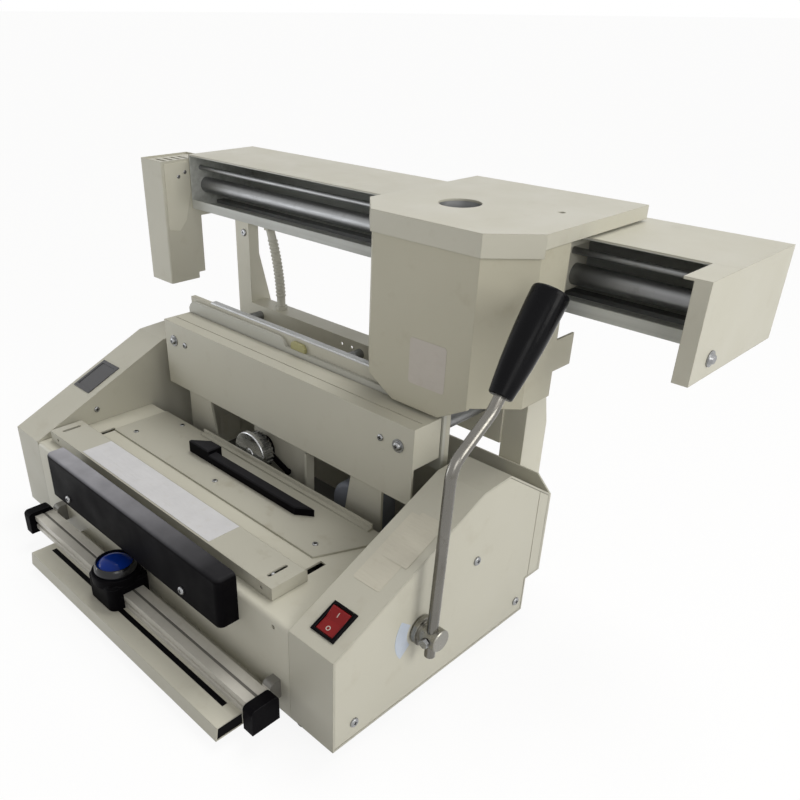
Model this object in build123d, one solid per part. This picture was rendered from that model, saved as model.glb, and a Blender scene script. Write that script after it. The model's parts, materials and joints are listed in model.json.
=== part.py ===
"""Desktop perfect binding machine: a hand-worked hot-melt glue binder.

Millimetres, +Z up. The sizes below are measured from the middle plane between the two cabinets (x), the
cabinets' front face (y) and the desk (z). Each piece is written with the origin moved to the middle of the
machine's outer box, on the desk.
"""
from build123d import *
import math
import os

# Sheet metal and running fits
SHEET = 2.0
THICK_SHEET = 3.0
RUN = 0.05
GAP = 0.3

# Cabinets, seen from the side
WIDTH = 540.0
CABINET_WIDTH = 52.0
FOOT_HEIGHT = 8.0
FOOT_RADIUS = 9.5
FOOT_X = 224.0
FOOT_Y = 11.5
FRONT_HEIGHT = 97.5
SLOPE_DEPTH = 176.0
CREST_HEIGHT = 175.0
CREST_DEPTH = 213.0
CREST_RISE = 2.0
CABINET_DEPTH = 286.0
BACK_HEIGHT = 127.5
STEP_DEPTH = 263.0
STEP_HEIGHT = 38.5

# Rear casing
CASING_FLANGE = 20.0
CASING_RISE = 16.0
CASING_CHAMFER = 16.0
INLET_X = -150.0
INLET_Z = 96.0
INLET_SIZE = (27.0, 20.0)

# Deck and table
DECK_HEIGHT = 97.0
DECK_DEPTH = 150.0
DECK_BEND = 5.0
TABLE_START = 79.0
TABLE_LEFT = -184.0
TABLE_RIGHT = 181.0
TABLE_CHAMFER = (21.0, 48.0)
TABLE_SCREWS = ((-161.0, 94.0), (-138.0, 142.0), (-8.0, 94.0), (147.0, 94.0))
PANEL_HOLE = (198.7, 89.0)
PANEL_SCREWS = (
    (24.0, 18.0),
    (SLOPE_DEPTH - 1.0, BACK_HEIGHT - 22.5),
    (STEP_DEPTH - 13.5, STEP_HEIGHT - 20.9),
)
WALL_SCREW = (77.0, FRONT_HEIGHT + 15.5)
SCREW_SHANK = 1.7
PANEL_HEAD = (4.4, 2.2)
JAW_HEAD = (3.4, 1.8)
TABLE_HEAD = (3.0, 1.0)
LEDGE_DEPTH = 7.0
LEDGE_HEIGHT = 6.0
LEDGE_ENDS = (-103.0, 167.0)
STOP_BAR_ENDS = (-79.0, 113.0)
STOP_BAR_FRONT = DECK_DEPTH - 38.0
STOP_BAR_DEPTH = 12.0
STOP_BAR_POINT = 16.0
STOP_BAR_HEEL = (35.0, 18.0)
STOP_BAR_HEIGHT = 9.0
STOP_BAR_HEAD = 14.0

# Nipping tray, with the slots that guide it
TRAY_ENDS = (-210.0, 181.0)
TRAY_FRONT = 14.0
TRAY_DEPTH = 40.0
TRAY_HEIGHT = 13.0
TRAY_TRAVEL = 23.0
TRAY_SLOT_X = (-198.0, 165.0)
TRAY_SLOT = (22.0, 4.0)
TRAY_BEND = 3.0
GUIDE_X = (-188.0, 171.0)
GUIDE_SLOT_WIDTH = 7.0
GUIDE_SLOT_PLAY = 12.0
BRACKET_NECK = (20.0, 47.0)
TRAY_HOLE_X = (-193.6, 167.0)
SHEET_ENDS = (-140.0, 90.0)

# Black front bar
FRONT_BAR_ENDS = (-152.0, 152.0)
FRONT_BAR_DEPTH = 20.0
FRONT_BAR_Z = (68.0, 118.0)
FRONT_BAR_SCREW_X = (-112.0, 96.0)
FRONT_BAR_SCREW_Z = 78.0

# Lever, its shaft and cranks
SHAFT_Y = 101.5
SHAFT_Z = 72.3
SHAFT_RADIUS = 8.0
BUSH_RADIUS = 12.0
LEVER_SWING = 55.0
CRANK_RADIUS = TRAY_TRAVEL / 2 / math.sin(math.radians(LEVER_SWING / 2))
CRANK_PIN_RADIUS = 3.0
CRANK_THICKNESS = 5.0
YOKE_PLAY = 0.6
HUB_RADIUS = 10.0
HUB_LENGTH = 18.0
COLLAR_RADIUS = 13.5
COLLAR_LENGTH = 4.5
ROD_RADIUS = 4.75
ROD_X = 285.0
ROD_PATH = ((98.0, 53.0), (106.0, 234.0), (150.0, 264.5), (166.5, 286.6))
ROD_BENDS = (24.0, 30.0)
GRIP_SEAT = 12.7
GRIP_LENGTH = 88.0
GRIP_RADII = (9.5, 12.5)

# Book clamp
FACING_HALF = 198.0
JAW_HALF = FACING_HALF - 2.0
JAW_FRONT = DECK_DEPTH + 17.5
JAW_DEPTH = 36.5
JAW_Z = (130.0, 209.0)
JAW_BOX_Z = 168.0
ROD_SPACING = FACING_HALF - 20.0
GUIDE_ROD_RADIUS = 6.0
GUIDE_ROD_Z = 187.0
ROD_BOLT_RADIUS = 2.5
ROD_BOLT_LENGTH = 12.0
JAW_SCREW_X = ROD_SPACING - 22.0
CHEEK_X = (ROD_SPACING - 58.0, ROD_SPACING - 20.0)
CHEEK_STEP = 14.0
CLAMP_GAP = 1.0
REAR_JAW_THICKNESS = 6.0
FACING_THICKNESS = 4.0
REAR_JAW_Z = (150.0, 229.0)
FACING_DROP = 5.5
FACING_LOW = 14.0
FACING_STEP_X = -20.0
FACING_CORNER = 13.0
SPINE_INSET = 40.0
BLOCK_X = (-12.0, 10.0)
CLAMP_TRAVEL = 55.0
SCREW_X = -24.0
SCREW_Z = 103.0
SCREW_RADIUS = 7.0
SCREW_START = DECK_DEPTH + 1.5
WHEEL_RADIUS = 25.0
WHEEL_Y = SCREW_START + 0.5
WHEEL_THICKNESS = 5.0
HUB_RIB_RADIUS = 21.0
HUB_RIBS = 24
HUB_FLUTE = 1.6
HUB_END = WHEEL_Y + 18.0
CRANK_Y = HUB_END + 3.6
CRANK_LENGTH = 42.0
CRANK_SLANT = 20.0
SUPPORT_Y = HUB_END + 8.0
WEB_X = (SCREW_X - 22.0, SCREW_X + 74.0)
WEB_TOP = SCREW_Z + 22.0
WEB_RETURN = 8.0
COVER_SIZE = (58.0, 34.0, 108.0)
COVER_ARCH = 24.0

# Posts, rear beam and gantry
POST_X = (ROD_SPACING + 20.0, ROD_SPACING + 46.0)
POST_FRONT = CABINET_DEPTH + 14.0
POST_DEPTHS = (15.0, 38.0)
BEAM_FRONT = POST_FRONT - 2.0
BEAM_DEPTH = 25.0
BEAM_Z = (150.0, 200.0)
GANTRY_ENDS = (-310.0, 385.0)
GANTRY_Y = (POST_FRONT - 4.0, POST_FRONT + 100.0)
GANTRY_Z = (300.0, 366.0)
GANTRY_LIP = 11.0
END_CAP_FRONT = GANTRY_Y[0] - 47.0
END_CAP_BOTTOM = 287.0
END_CAP_WIDTH = 21.0
END_CAP_FLANGE = 13.0
END_BOLT_HEAD = 3.8
END_BOLT = (END_CAP_FRONT + 29.0, END_CAP_BOTTOM + 15.0)
RAIL_Y = POST_FRONT + 20.0
RAIL_Z = 327.0
RAIL_RADIUS = 9.5
GUIDE_BAR_Y = RAIL_Y - 8.0
GUIDE_BAR_Z = RAIL_Z + 22.0
GUIDE_BAR_RADIUS = 3.0

# Hanging unit at the gantry's left end
UNIT_WIDTH = 48.0
UNIT_Y = (GANTRY_Y[0] - 41.0, GANTRY_Y[0] + 30.0)
UNIT_Z = (207.0, 361.0)
UNIT_NOTCH = (17.0, 82.0)
UNIT_FOOT = (10.0, 8.0)
UNIT_RECESS = 4.0
UNIT_SLOTS = 4

# Ribbed conduit between gantry and beam
CONDUIT_X = -150.0
CONDUIT_LEAN = 17.0
CONDUIT_Y = POST_FRONT + 9.0
CONDUIT_RADIUS = 5.2
CONDUIT_BORE = 3.4
CONDUIT_RIB = 0.9
RIB_COUNT = 16
GLAND_RADIUS = 7.5
GLAND_HEIGHT = 5.0

# Glue carriage
CARRIAGE_X = FACING_HALF - 28.0
LID_HALF = 94.0
LID_Y = (JAW_FRONT + 26.0, GANTRY_Y[0] + 90.0)
LID_TOP = GANTRY_Z[1] + 14.0
LID_CHAMFER = 35.0
LID_FRONT_LIP = 19.0
LID_SIDE_LIP = 12.0
FILLER_X = -22.0
FILLER_Y = GANTRY_Y[0] - 28.0
FILLER_RADIUS = 19.3
LID_HOLE = (59.0, GANTRY_Y[0] + 6.0)
BODY_MARGIN = 3.0
BODY_REAR = GANTRY_Y[0] - 26.0
SKIRT_Z = 212.5
SKIRT_CUT = 36.0
SIDE_Z = 232.0
EAR_DEPTH = 27.0
EAR_Z = (255.0, 284.0)
TANK_HALF = 45.0
TANK_Y = (JAW_FRONT + 35.5, GANTRY_Y[0] - 5.5)
TANK_Z = (240.0, GANTRY_Z[1] - 24.0)
TANK_SHOULDER = 45.0
TANK_WALL = 3.0
ROLLER_RADIUS = 20.0
ROLLER_Y = (TANK_Y[0] + 6.0, TANK_Y[0] + 52.0)
ROLLER_BOTTOM = 231.7
ROLLER_PIN = 4.0
TANK_FLANGE_Y = (TANK_Y[0] + 27.0, TANK_Y[0] + 59.0)
GUARD_Y = (TANK_Y[0] + 29.0, TANK_Y[0] + 59.0)
BRACKET_Z = GANTRY_Z[1] - 10.0
BRACKET_WEB = 2.7
BEARING_X = (28.0, 70.0)
BEARING_HALF = 17.0
BEARING_DROP = 13.0
CARRIAGE_LEFT_TRAVEL = 386.0
CARRIAGE_RIGHT_TRAVEL = 10.0

# Creaser
STRIP_ENDS = (-140.0, 195.0)
STRIP_FRONT = 62.0
STRIP_SLOPE = 2.0
STRIP_HEIGHT = 14.0
STRIP_PLUG = 2.5
GROOVE_Y = -39.5
GROOVE_ENDS = (-129.0, 178.5)
CREASE_RAIL_ENDS = (-180.0, 206.0)
CREASE_RAIL_Y = (-34.0, -12.0)
CREASE_RAIL_HEIGHT = 16.0
CREASE_CAP_LENGTH = 12.0
CREASE_CAP_Z = (9.0, 35.0)
CREASE_BRACKET = 10.0
CREASE_BRACKET_Z = (16.0, 36.0)
SLIDER_X = -13.0
SLIDER_HALF = 23.0
SLIDER_Y = (-48.0, -3.0)
SLIDER_TOP = 41.0
BUTTON_Y = -27.0
BUTTON_RADIUS = 21.0
BUTTON_STROKE = 3.5
CREASE_WHEEL_RADIUS = 9.0

# Switch and display on the cabinets' slopes
SWITCH_X = 245.0
SWITCH_Y = 25.0
SWITCH_SIZE = (26.0, 30.0)
ROCKER_SIZE = (19.0, 24.0)
ROCKER_TILT = 7.0
DISPLAY_X = -246.3
DISPLAY_Y = 97.0
DISPLAY_SIZE = (35.0, 48.0)

HALF = WIDTH / 2
INNER = HALF - CABINET_WIDTH
SLOPE_ANGLE = math.degrees(math.atan2(CREST_HEIGHT - FRONT_HEIGHT, SLOPE_DEPTH))
DECK_Z = FOOT_HEIGHT + DECK_HEIGHT
TABLE_Z = DECK_Z + SHEET
UNIT_LEFT = GANTRY_ENDS[0] - UNIT_WIDTH
CENTRE = Vector(
    -(UNIT_LEFT + GANTRY_ENDS[1] + END_BOLT_HEAD) / 2,
    -(GANTRY_Y[1] - STRIP_FRONT) / 2,
    0,
)


def up(height):
    """Height above the desk of a size measured from the cabinets' underside."""
    return height + FOOT_HEIGHT


def block(x, y, z):
    """A box between pairs of limits."""
    size = [high - low for low, high in (x, y, z)]
    middle = [(high + low) / 2 for low, high in (x, y, z)]
    return Pos(*middle) * Box(*size)


def bar_x(y, z, radius, start, end):
    return Pos((start + end) / 2, y, z) * Rot(0, 90, 0) * Cylinder(radius, end - start)


def bar_y(x, z, radius, start, end):
    return Pos(x, (start + end) / 2, z) * Rot(90, 0, 0) * Cylinder(radius, end - start)


def bar_z(x, y, radius, start, end):
    return Pos(x, y, (start + end) / 2) * Cylinder(radius, end - start)


def side_prism(outline, start, end):
    """An outline in y and z, extruded along x."""
    return extrude(Plane.YZ.offset(start) * outline, end - start, dir=(1, 0, 0))


def plan_prism(outline, start, end):
    """An outline in x and y, extruded upward."""
    return extrude(Plane.XY.offset(start) * outline, end - start, dir=(0, 0, 1))


def polygon(*points):
    return Polygon(*points, align=None)


def slope_height(y):
    """Height of the cabinets' sloping top at a depth."""
    return up(FRONT_HEIGHT) + y * math.tan(math.radians(SLOPE_ANGLE))


def on_slope(x, y):
    """A place on the sloping top, with its z along the slope's normal and its y up the slope."""
    lean = math.radians(SLOPE_ANGLE)
    return Plane((x, y, slope_height(y)), x_dir=(1, 0, 0), z_dir=(0, -math.sin(lean), math.cos(lean))).location


def button_screw(radius, head, shank, length):
    """A pan-head screw with its seat at z = 0 and its domed head along +z."""
    dome = Cylinder(radius, head, align=(Align.CENTER, Align.CENTER, Align.MIN))
    dome = fillet(dome.edges().group_by(Axis.Z)[-1], head * 0.7)
    return dome + Cylinder(shank, length, align=(Align.CENTER, Align.CENTER, Align.MAX))


def facing(x, y, z, direction):
    """A place whose z axis points along a direction."""
    return Plane((x, y, z), z_dir=direction).location


# Cabinets and housing


def cabinet_outline():
    back = CABINET_DEPTH - SHEET
    drop = (CREST_HEIGHT + CREST_RISE - BACK_HEIGHT) / (CABINET_DEPTH - CREST_DEPTH)
    return polygon(
        (0, up(0)),
        (0, up(FRONT_HEIGHT)),
        (SLOPE_DEPTH, up(CREST_HEIGHT)),
        (CREST_DEPTH, up(CREST_HEIGHT + CREST_RISE)),
        (back, up(BACK_HEIGHT + drop * SHEET)),
        (back, up(STEP_HEIGHT)),
        (STEP_DEPTH, up(STEP_HEIGHT)),
        (STEP_DEPTH, up(0)),
    )


def cabinet_shell():
    """The right cabinet: a folded shell, open on its outer side."""
    shell = side_prism(cabinet_outline(), INNER, HALF)
    inside = offset(cabinet_outline(), -SHEET, kind=Kind.INTERSECTION)
    shell -= side_prism(inside, INNER + SHEET, HALF + 1)
    shell -= bar_x(SHAFT_Y, up(SHAFT_Z), BUSH_RADIUS + RUN, INNER - 1, INNER + SHEET + 1)
    return shell


def right_cabinet():
    cut = on_slope(SWITCH_X, SWITCH_Y) * Box(SWITCH_SIZE[0] - 4, SWITCH_SIZE[1] - 4, 20)
    return cabinet_shell() - cut


def left_cabinet():
    cut = on_slope(DISPLAY_X, DISPLAY_Y) * Box(DISPLAY_SIZE[0] - 2, DISPLAY_SIZE[1] - 2, 20)
    return mirror(cabinet_shell(), about=Plane.YZ) - cut


def side_panel(shaft_passes):
    """The flat panel that closes a cabinet's outer side, set into the folded edge."""
    outline = offset(cabinet_outline(), -(SHEET + GAP), kind=Kind.INTERSECTION)
    panel = side_prism(outline, HALF - SHEET, HALF - GAP)
    panel -= block((INNER, HALF + 1), (CABINET_DEPTH - CASING_FLANGE - GAP, CABINET_DEPTH), (0, up(CREST_HEIGHT)))
    if shaft_passes:
        panel -= bar_x(SHAFT_Y, up(SHAFT_Z), BUSH_RADIUS + RUN, HALF - SHEET - 1, HALF + 1)
    return panel


def side_panels():
    right = screw_holes(side_panel(True))
    left = screw_holes(mirror(side_panel(False), about=Plane.YZ))
    return [left, right]


def screw_places():
    """Where the pan-head screws of the housing sit, the way each head points, and its radius and height."""
    places = []
    for side in (-1, 1):
        for y, z in PANEL_SCREWS:
            places.append((side * (HALF - GAP), y, up(z), (side, 0, 0), PANEL_HEAD))
    y, z = WALL_SCREW
    places.append((-INNER, y, up(z), (1, 0, 0), JAW_HEAD))
    for x in (-JAW_SCREW_X, JAW_SCREW_X):
        places.append((x, JAW_FRONT, up(GUIDE_ROD_Z), (0, -1, 0), JAW_HEAD))
    for x, y in TABLE_SCREWS:
        places.append((x, y, TABLE_Z, (0, 0, 1), TABLE_HEAD))
    for side in (-1, 1):
        x = side * (POST_X[0] + 9)
        places.append((x, POST_FRONT, up(GANTRY_Z[0] - 14), (0, -1, 0), PANEL_HEAD))
    return places


def screws():
    """The housing's pan-head screws, the front bar's two larger ones and the end cap's bolt."""
    small = []
    for x, y, z, way, head in screw_places():
        small.append(facing(x, y, z, way) * button_screw(*head, SCREW_SHANK, 1.2))
    return small + front_bar_screws() + [end_bolt()]


def screw_holes(part):
    """Clears the housing screws' shanks out of a sheet."""
    for x, y, z, way, head in screw_places():
        part -= facing(x, y, z, way) * Cylinder(SCREW_SHANK + RUN, 8)
    return part


def rear_casing():
    """The wall behind both cabinets, closed down to the floor between them, with flanges round their sides."""
    top = up(BACK_HEIGHT + CASING_RISE)
    low = up(STEP_HEIGHT)
    wall = block((-HALF, HALF), (CABINET_DEPTH - SHEET, CABINET_DEPTH), (low, top))
    wall = chamfer(wall.edges().filter_by(Axis.Y).group_by(Axis.Z)[-1], CASING_CHAMFER)
    outline = offset(cabinet_outline(), -(SHEET + GAP), kind=Kind.INTERSECTION)
    flange = side_prism(outline, HALF - SHEET, HALF)
    flange &= block((0, HALF), (CABINET_DEPTH - CASING_FLANGE, CABINET_DEPTH - 2 * SHEET), (low, top))
    inlet = block(
        (INLET_X - INLET_SIZE[0] / 2, INLET_X + INLET_SIZE[0] / 2),
        (CABINET_DEPTH - SHEET - 1, CABINET_DEPTH + 1),
        (INLET_Z - INLET_SIZE[1] / 2, INLET_Z + INLET_SIZE[1] / 2),
    )
    apron = block((GAP - INNER, INNER - GAP), (CABINET_DEPTH - SHEET, CABINET_DEPTH), (up(THICK_SHEET), low + 1))
    return wall + apron + flange + mirror(flange, about=Plane.YZ) - inlet


def power_inlet():
    """A three-pin mains inlet: flange, recess and pins."""
    wide, high = INLET_SIZE
    back = CABINET_DEPTH
    body = block((-wide / 2 + 0.2, wide / 2 - 0.2), (back - 18, back), (-high / 2 + 0.2, high / 2 - 0.2))
    flange = block((-24, 24), (back, back + 2.5), (-high / 2 - 2, high / 2 + 2))
    recess = block((-wide / 2 + 2, wide / 2 - 2), (back - 14, back + 3), (-high / 2 + 2, high / 2 - 2))
    inlet = body + flange - recess
    for x, z in ((-7, -2), (0, 3), (7, -2)):
        inlet += block((x - 1, x + 1), (back - 14, back - 6), (z - 2, z + 2))
    return Pos(INLET_X, 0, INLET_Z) * inlet


def base_plate():
    """The floor between the cabinets, wider again behind them where the posts stand on it."""
    thick = (up(0), up(THICK_SHEET))
    half = INNER - GAP
    rear_half = POST_X[1] + 4
    plate = block((-half, half), (SHEET + GAP, CABINET_DEPTH + 2), thick)
    return plate + block((-rear_half, rear_half), (CABINET_DEPTH + 1, POST_FRONT + POST_DEPTHS[1] + 4), thick)


def foot_places():
    places = []
    for side in (-1, 1):
        places.append((side * FOOT_X, FOOT_Y))
        places.append((side * (HALF - CABINET_WIDTH / 2), STEP_DEPTH - 25))
        places.append((side * (POST_X[0] + 8), POST_FRONT + 26))
    return places


def feet():
    foot = Cone(FOOT_RADIUS - 2, FOOT_RADIUS, FOOT_HEIGHT, align=(Align.CENTER, Align.CENTER, Align.MIN))
    return [Pos(x, y, 0) * foot for x, y in foot_places()]


# Deck and table


def guide_slot(x):
    """The slot in the deck in which one of the tray's brackets runs."""
    ends = (BRACKET_NECK[0] - 2, BRACKET_NECK[1] + TRAY_TRAVEL + GUIDE_SLOT_PLAY)
    return block((x - GUIDE_SLOT_WIDTH / 2, x + GUIDE_SLOT_WIDTH / 2), ends, (DECK_Z - 10, DECK_Z + 10))


def deck():
    """Front panel and table top, folded from one sheet over a rounded edge."""
    half = INNER - GAP
    outer = block((-half, half), (0, DECK_DEPTH), (up(0), DECK_Z))
    outer = fillet(outer.edges().filter_by(Axis.X).sort_by(Axis.Z)[-2:].sort_by(Axis.Y)[0], DECK_BEND)
    inner = block((-half - 1, half + 1), (SHEET, DECK_DEPTH + 1), (-1, DECK_Z - SHEET))
    inner = fillet(inner.edges().filter_by(Axis.X).sort_by(Axis.Z)[-2:].sort_by(Axis.Y)[0], DECK_BEND - SHEET)
    sheet = outer - inner
    for x in GUIDE_X:
        sheet -= guide_slot(x)
    hole_x, hole_z = PANEL_HOLE
    return sheet - bar_y(hole_x, up(hole_z), 2, -1, SHEET + 1)


def rear_table():
    """The raised plate behind the tray, with its cut front-right corner."""
    cut_x, cut_y = TABLE_CHAMFER
    outline = polygon(
        (TABLE_LEFT, TABLE_START),
        (TABLE_RIGHT - cut_x, TABLE_START),
        (TABLE_RIGHT, TABLE_START + cut_y),
        (TABLE_RIGHT, DECK_DEPTH),
        (TABLE_LEFT, DECK_DEPTH),
    )
    return screw_holes(plan_prism(outline, DECK_Z, TABLE_Z))


def table_ledge():
    """The upstand along the table's rear edge."""
    start, end = LEDGE_ENDS
    upstand = block((start, end), (DECK_DEPTH - SHEET, DECK_DEPTH), (TABLE_Z, TABLE_Z + LEDGE_HEIGHT))
    foot = block((start, end), (DECK_DEPTH - LEDGE_DEPTH, DECK_DEPTH), (TABLE_Z, TABLE_Z + SHEET))
    return upstand + foot


def stop_bar():
    """The black bar that the spine is nipped against: mitred at the right, with a deeper, higher head at the left."""
    left, right = STOP_BAR_ENDS
    front, back = STOP_BAR_FRONT, STOP_BAR_FRONT + STOP_BAR_DEPTH
    heel_length, heel_depth = STOP_BAR_HEEL
    outline = polygon(
        (left, front),
        (right - STOP_BAR_POINT, front),
        (right, back),
        (left + heel_length, back),
        (left + heel_length, front + heel_depth),
        (left + heel_depth, front + heel_depth),
        (left, front + 3),
    )
    bar = plan_prism(outline, TABLE_Z, TABLE_Z + STOP_BAR_HEIGHT)
    bar = chamfer(bar.faces().sort_by(Axis.Z)[-1].edges(), 1.2)
    head = plan_prism(outline, TABLE_Z, TABLE_Z + STOP_BAR_HEAD)
    head &= block((left, left + heel_length), (front, front + heel_depth), (TABLE_Z, TABLE_Z + STOP_BAR_HEAD))
    return bar + chamfer(head.faces().sort_by(Axis.Z)[-1].edges(), 1.2)


# Nipping tray and front bar


def tray():
    """An upturned sheet tray that slides on the deck, with a rounded rear edge."""
    low, high = DECK_Z + GAP, DECK_Z + TRAY_HEIGHT
    depth = (TRAY_FRONT, TRAY_FRONT + TRAY_DEPTH)
    outer = block(TRAY_ENDS, depth, (low, high))
    top_edges = outer.faces().sort_by(Axis.Z)[-1].edges().sort_by(Axis.Y)
    outer = fillet(top_edges[-1], TRAY_BEND)
    inner = block(
        (TRAY_ENDS[0] + SHEET, TRAY_ENDS[1] - SHEET),
        (depth[0] + SHEET, depth[1] - SHEET),
        (low - 1, high - SHEET),
    )
    inner = fillet(inner.faces().sort_by(Axis.Z)[-1].edges().sort_by(Axis.Y)[-1], TRAY_BEND - SHEET)
    shell = outer - inner
    middle = sum(depth) / 2
    for x in TRAY_SLOT_X:
        slot = SlotOverall(TRAY_SLOT[0], TRAY_SLOT[1], rotation=90)
        shell -= plan_prism(Pos(x, middle) * slot, high - SHEET - 1, high + 1)
    for x in TRAY_HOLE_X:
        shell -= bar_y(x, (low + high) / 2, 1.8, depth[0] - 1, depth[0] + SHEET + 1)
    return shell


def tray_sheet():
    """The blank sheet that lies on the tray."""
    depth = (TRAY_FRONT + 2, TRAY_FRONT + TRAY_DEPTH - TRAY_BEND)
    top = DECK_Z + TRAY_HEIGHT
    return block(SHEET_ENDS, depth, (top, top + 0.4))


def tray_brackets():
    """Plates that drop through the guide slots and end in a yoke round each crank pin."""
    front, back = BRACKET_NECK
    swing = math.radians(LEVER_SWING / 2)
    pin_y = SHAFT_Y - CRANK_RADIUS * math.sin(swing)
    pin_z = up(SHAFT_Z) - CRANK_RADIUS
    top = DECK_Z + TRAY_HEIGHT - SHEET
    knee = up(SHAFT_Z) - SHAFT_RADIUS - 5
    outline = polygon(
        (front, top),
        (back, top),
        (back, knee),
        (pin_y + 10, knee),
        (pin_y + 10, pin_z - 8),
        (pin_y - 10, pin_z - 8),
        (front, knee),
    )
    reach = CRANK_PIN_RADIUS + YOKE_PLAY
    lowest = pin_z - 9
    highest = up(SHAFT_Z) - CRANK_RADIUS * math.cos(swing) + reach + 1
    window = polygon(
        (pin_y - reach, lowest),
        (pin_y + reach, lowest),
        (pin_y + reach, highest),
        (pin_y - reach, highest),
    )
    plates = []
    for x in GUIDE_X:
        plate = side_prism(outline, x - 1.5, x + 1.5) - side_prism(window, x - 3, x + 3)
        plates.append(plate)
    return plates


def front_bar():
    """The black bar bolted to the front panel, heavily rounded along its front."""
    low, high = FRONT_BAR_Z
    bar = block(FRONT_BAR_ENDS, (-FRONT_BAR_DEPTH, 0), (up(low), up(high)))
    bar = fillet(bar.edges().filter_by(Axis.Z).group_by(Axis.Y)[0], 6)
    bar = fillet(bar.faces().sort_by(Axis.Z)[-1].edges().sort_by(Axis.Y)[:3], 4)
    for x in FRONT_BAR_SCREW_X:
        bar -= bar_y(x, up(FRONT_BAR_SCREW_Z), 2 + RUN, -FRONT_BAR_DEPTH - 1, 1)
    return bar


def front_bar_screws():
    screw = button_screw(4.0, 2.4, 2, 8)
    return [facing(x, -FRONT_BAR_DEPTH, up(FRONT_BAR_SCREW_Z), (0, -1, 0)) * screw for x in FRONT_BAR_SCREW_X]


# Lever


def lever_shaft():
    return bar_x(SHAFT_Y, up(SHAFT_Z), SHAFT_RADIUS, -INNER - 6, HALF + 1)


def shaft_bushes():
    """Flanged bushes in both inner walls and in the right side panel."""
    bushes = []
    for start, way in ((-INNER - SHEET, 1), (INNER, 1), (HALF - SHEET - 1, 1)):
        collar = bar_x(SHAFT_Y, up(SHAFT_Z), BUSH_RADIUS, start, start + way * SHEET)
        flange_start = start - 2 if start > 0 else start + SHEET
        collar += bar_x(SHAFT_Y, up(SHAFT_Z), BUSH_RADIUS + 3, flange_start, flange_start + 2)
        collar -= bar_x(SHAFT_Y, up(SHAFT_Z), SHAFT_RADIUS + RUN, start - 9, start + 9)
        bushes.append(collar)
    return bushes


def crank_arms():
    """Arms keyed to the shaft beside each bracket, with the pins that drive the yokes."""
    lean = LEVER_SWING / 2
    arms = []
    for x, side in zip(GUIDE_X, (1, -1)):
        near = x + side * 2.5
        far = near + side * CRANK_THICKNESS
        start, end = sorted((near, far))
        boss = Circle(SHAFT_RADIUS + 5)
        tip = Pos(0, -CRANK_RADIUS) * Circle(CRANK_PIN_RADIUS + 3)
        web = polygon((-9, 0), (9, 0), (5, -CRANK_RADIUS), (-5, -CRANK_RADIUS))
        arm = extrude(Plane.YZ.offset(start) * (boss + tip + web - Circle(SHAFT_RADIUS)), end - start, dir=(1, 0, 0))
        pin_start, pin_end = sorted((near + side * 0.5, x - side * 2.5))
        arm += bar_x(0, -CRANK_RADIUS, CRANK_PIN_RADIUS, pin_start, pin_end)
        arms.append(Pos(0, SHAFT_Y, up(SHAFT_Z)) * Rot(-lean, 0, 0) * arm)
    return arms


def rod_path():
    points = [(y, up(z)) for y, z in ROD_PATH]
    return Plane.YZ.offset(ROD_X) * FilletPolyline(*points, radius=list(ROD_BENDS))


def lever_rod():
    path = rod_path()
    start = Plane(origin=path @ 0, z_dir=path % 0)
    rod = sweep(start * Circle(ROD_RADIUS), path=path)
    return chamfer(rod.edges().sort_by(Axis.Z)[0], 1)


def lever_hub():
    """Collar at the panel, hub and cross hole for the rod."""
    y, z = SHAFT_Y, up(SHAFT_Z)
    start = HALF + 1
    hub = bar_x(y, z, HUB_RADIUS, start, start + COLLAR_LENGTH + HUB_LENGTH)
    hub = chamfer(hub.edges().sort_by(Axis.X)[-1], 0.8)
    hub += bar_x(y, z, COLLAR_RADIUS, start, start + COLLAR_LENGTH)
    (y0, z0), (y1, z1) = ROD_PATH[:2]
    lean = math.degrees(math.atan2(y1 - y0, z1 - z0))
    hole = Pos(ROD_X, y0, up(z0)) * Rot(-lean, 0, 0) * Cylinder(ROD_RADIUS, 100)
    pinch = bar_y(ROD_X, z, 2.5, y - HUB_RADIUS - 6, y)
    return hub - hole - pinch


def lever_bolt():
    """The hexagon bolt that pinches the rod in its hub."""
    y, z = SHAFT_Y, up(SHAFT_Z)
    (y0, z0), (y1, z1) = ROD_PATH[:2]
    rod_front = y0 + (y1 - y0) * (SHAFT_Z - z0) / (z1 - z0) - ROD_RADIUS
    seat = y - HUB_RADIUS - 0.4
    head = extrude(Plane((ROD_X, seat, z), z_dir=(0, -1, 0)) * RegularPolygon(4.4, 6), 3.6)
    return head + bar_y(ROD_X, z, 2.4, seat, rod_front - 0.1)


def lever_grip():
    """A turned grip, wider at the top, with a domed end and the rod's socket."""
    low, high = GRIP_RADII
    taper = GRIP_LENGTH * 0.72
    grip = Cone(low, high, taper, align=(Align.CENTER, Align.CENTER, Align.MIN))
    grip += bar_z(0, 0, high, taper, GRIP_LENGTH)
    grip = fillet(grip.edges().group_by(Axis.Z)[-1], high * 0.6)
    grip = chamfer(grip.edges().group_by(Axis.Z)[0], 1)
    (y0, z0), (y1, z1) = ROD_PATH[2:]
    run = math.hypot(y1 - y0, z1 - z0)
    socket = bar_z(0, 0, ROD_RADIUS + RUN, -1, run - GRIP_SEAT + 1)
    way = Vector(0, y1 - y0, z1 - z0).normalized()
    seat = Vector(ROD_X, y0, up(z0)) + way * GRIP_SEAT
    return Plane(seat, x_dir=(1, 0, 0), z_dir=way).location * (grip - socket)


# Book clamp


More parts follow.
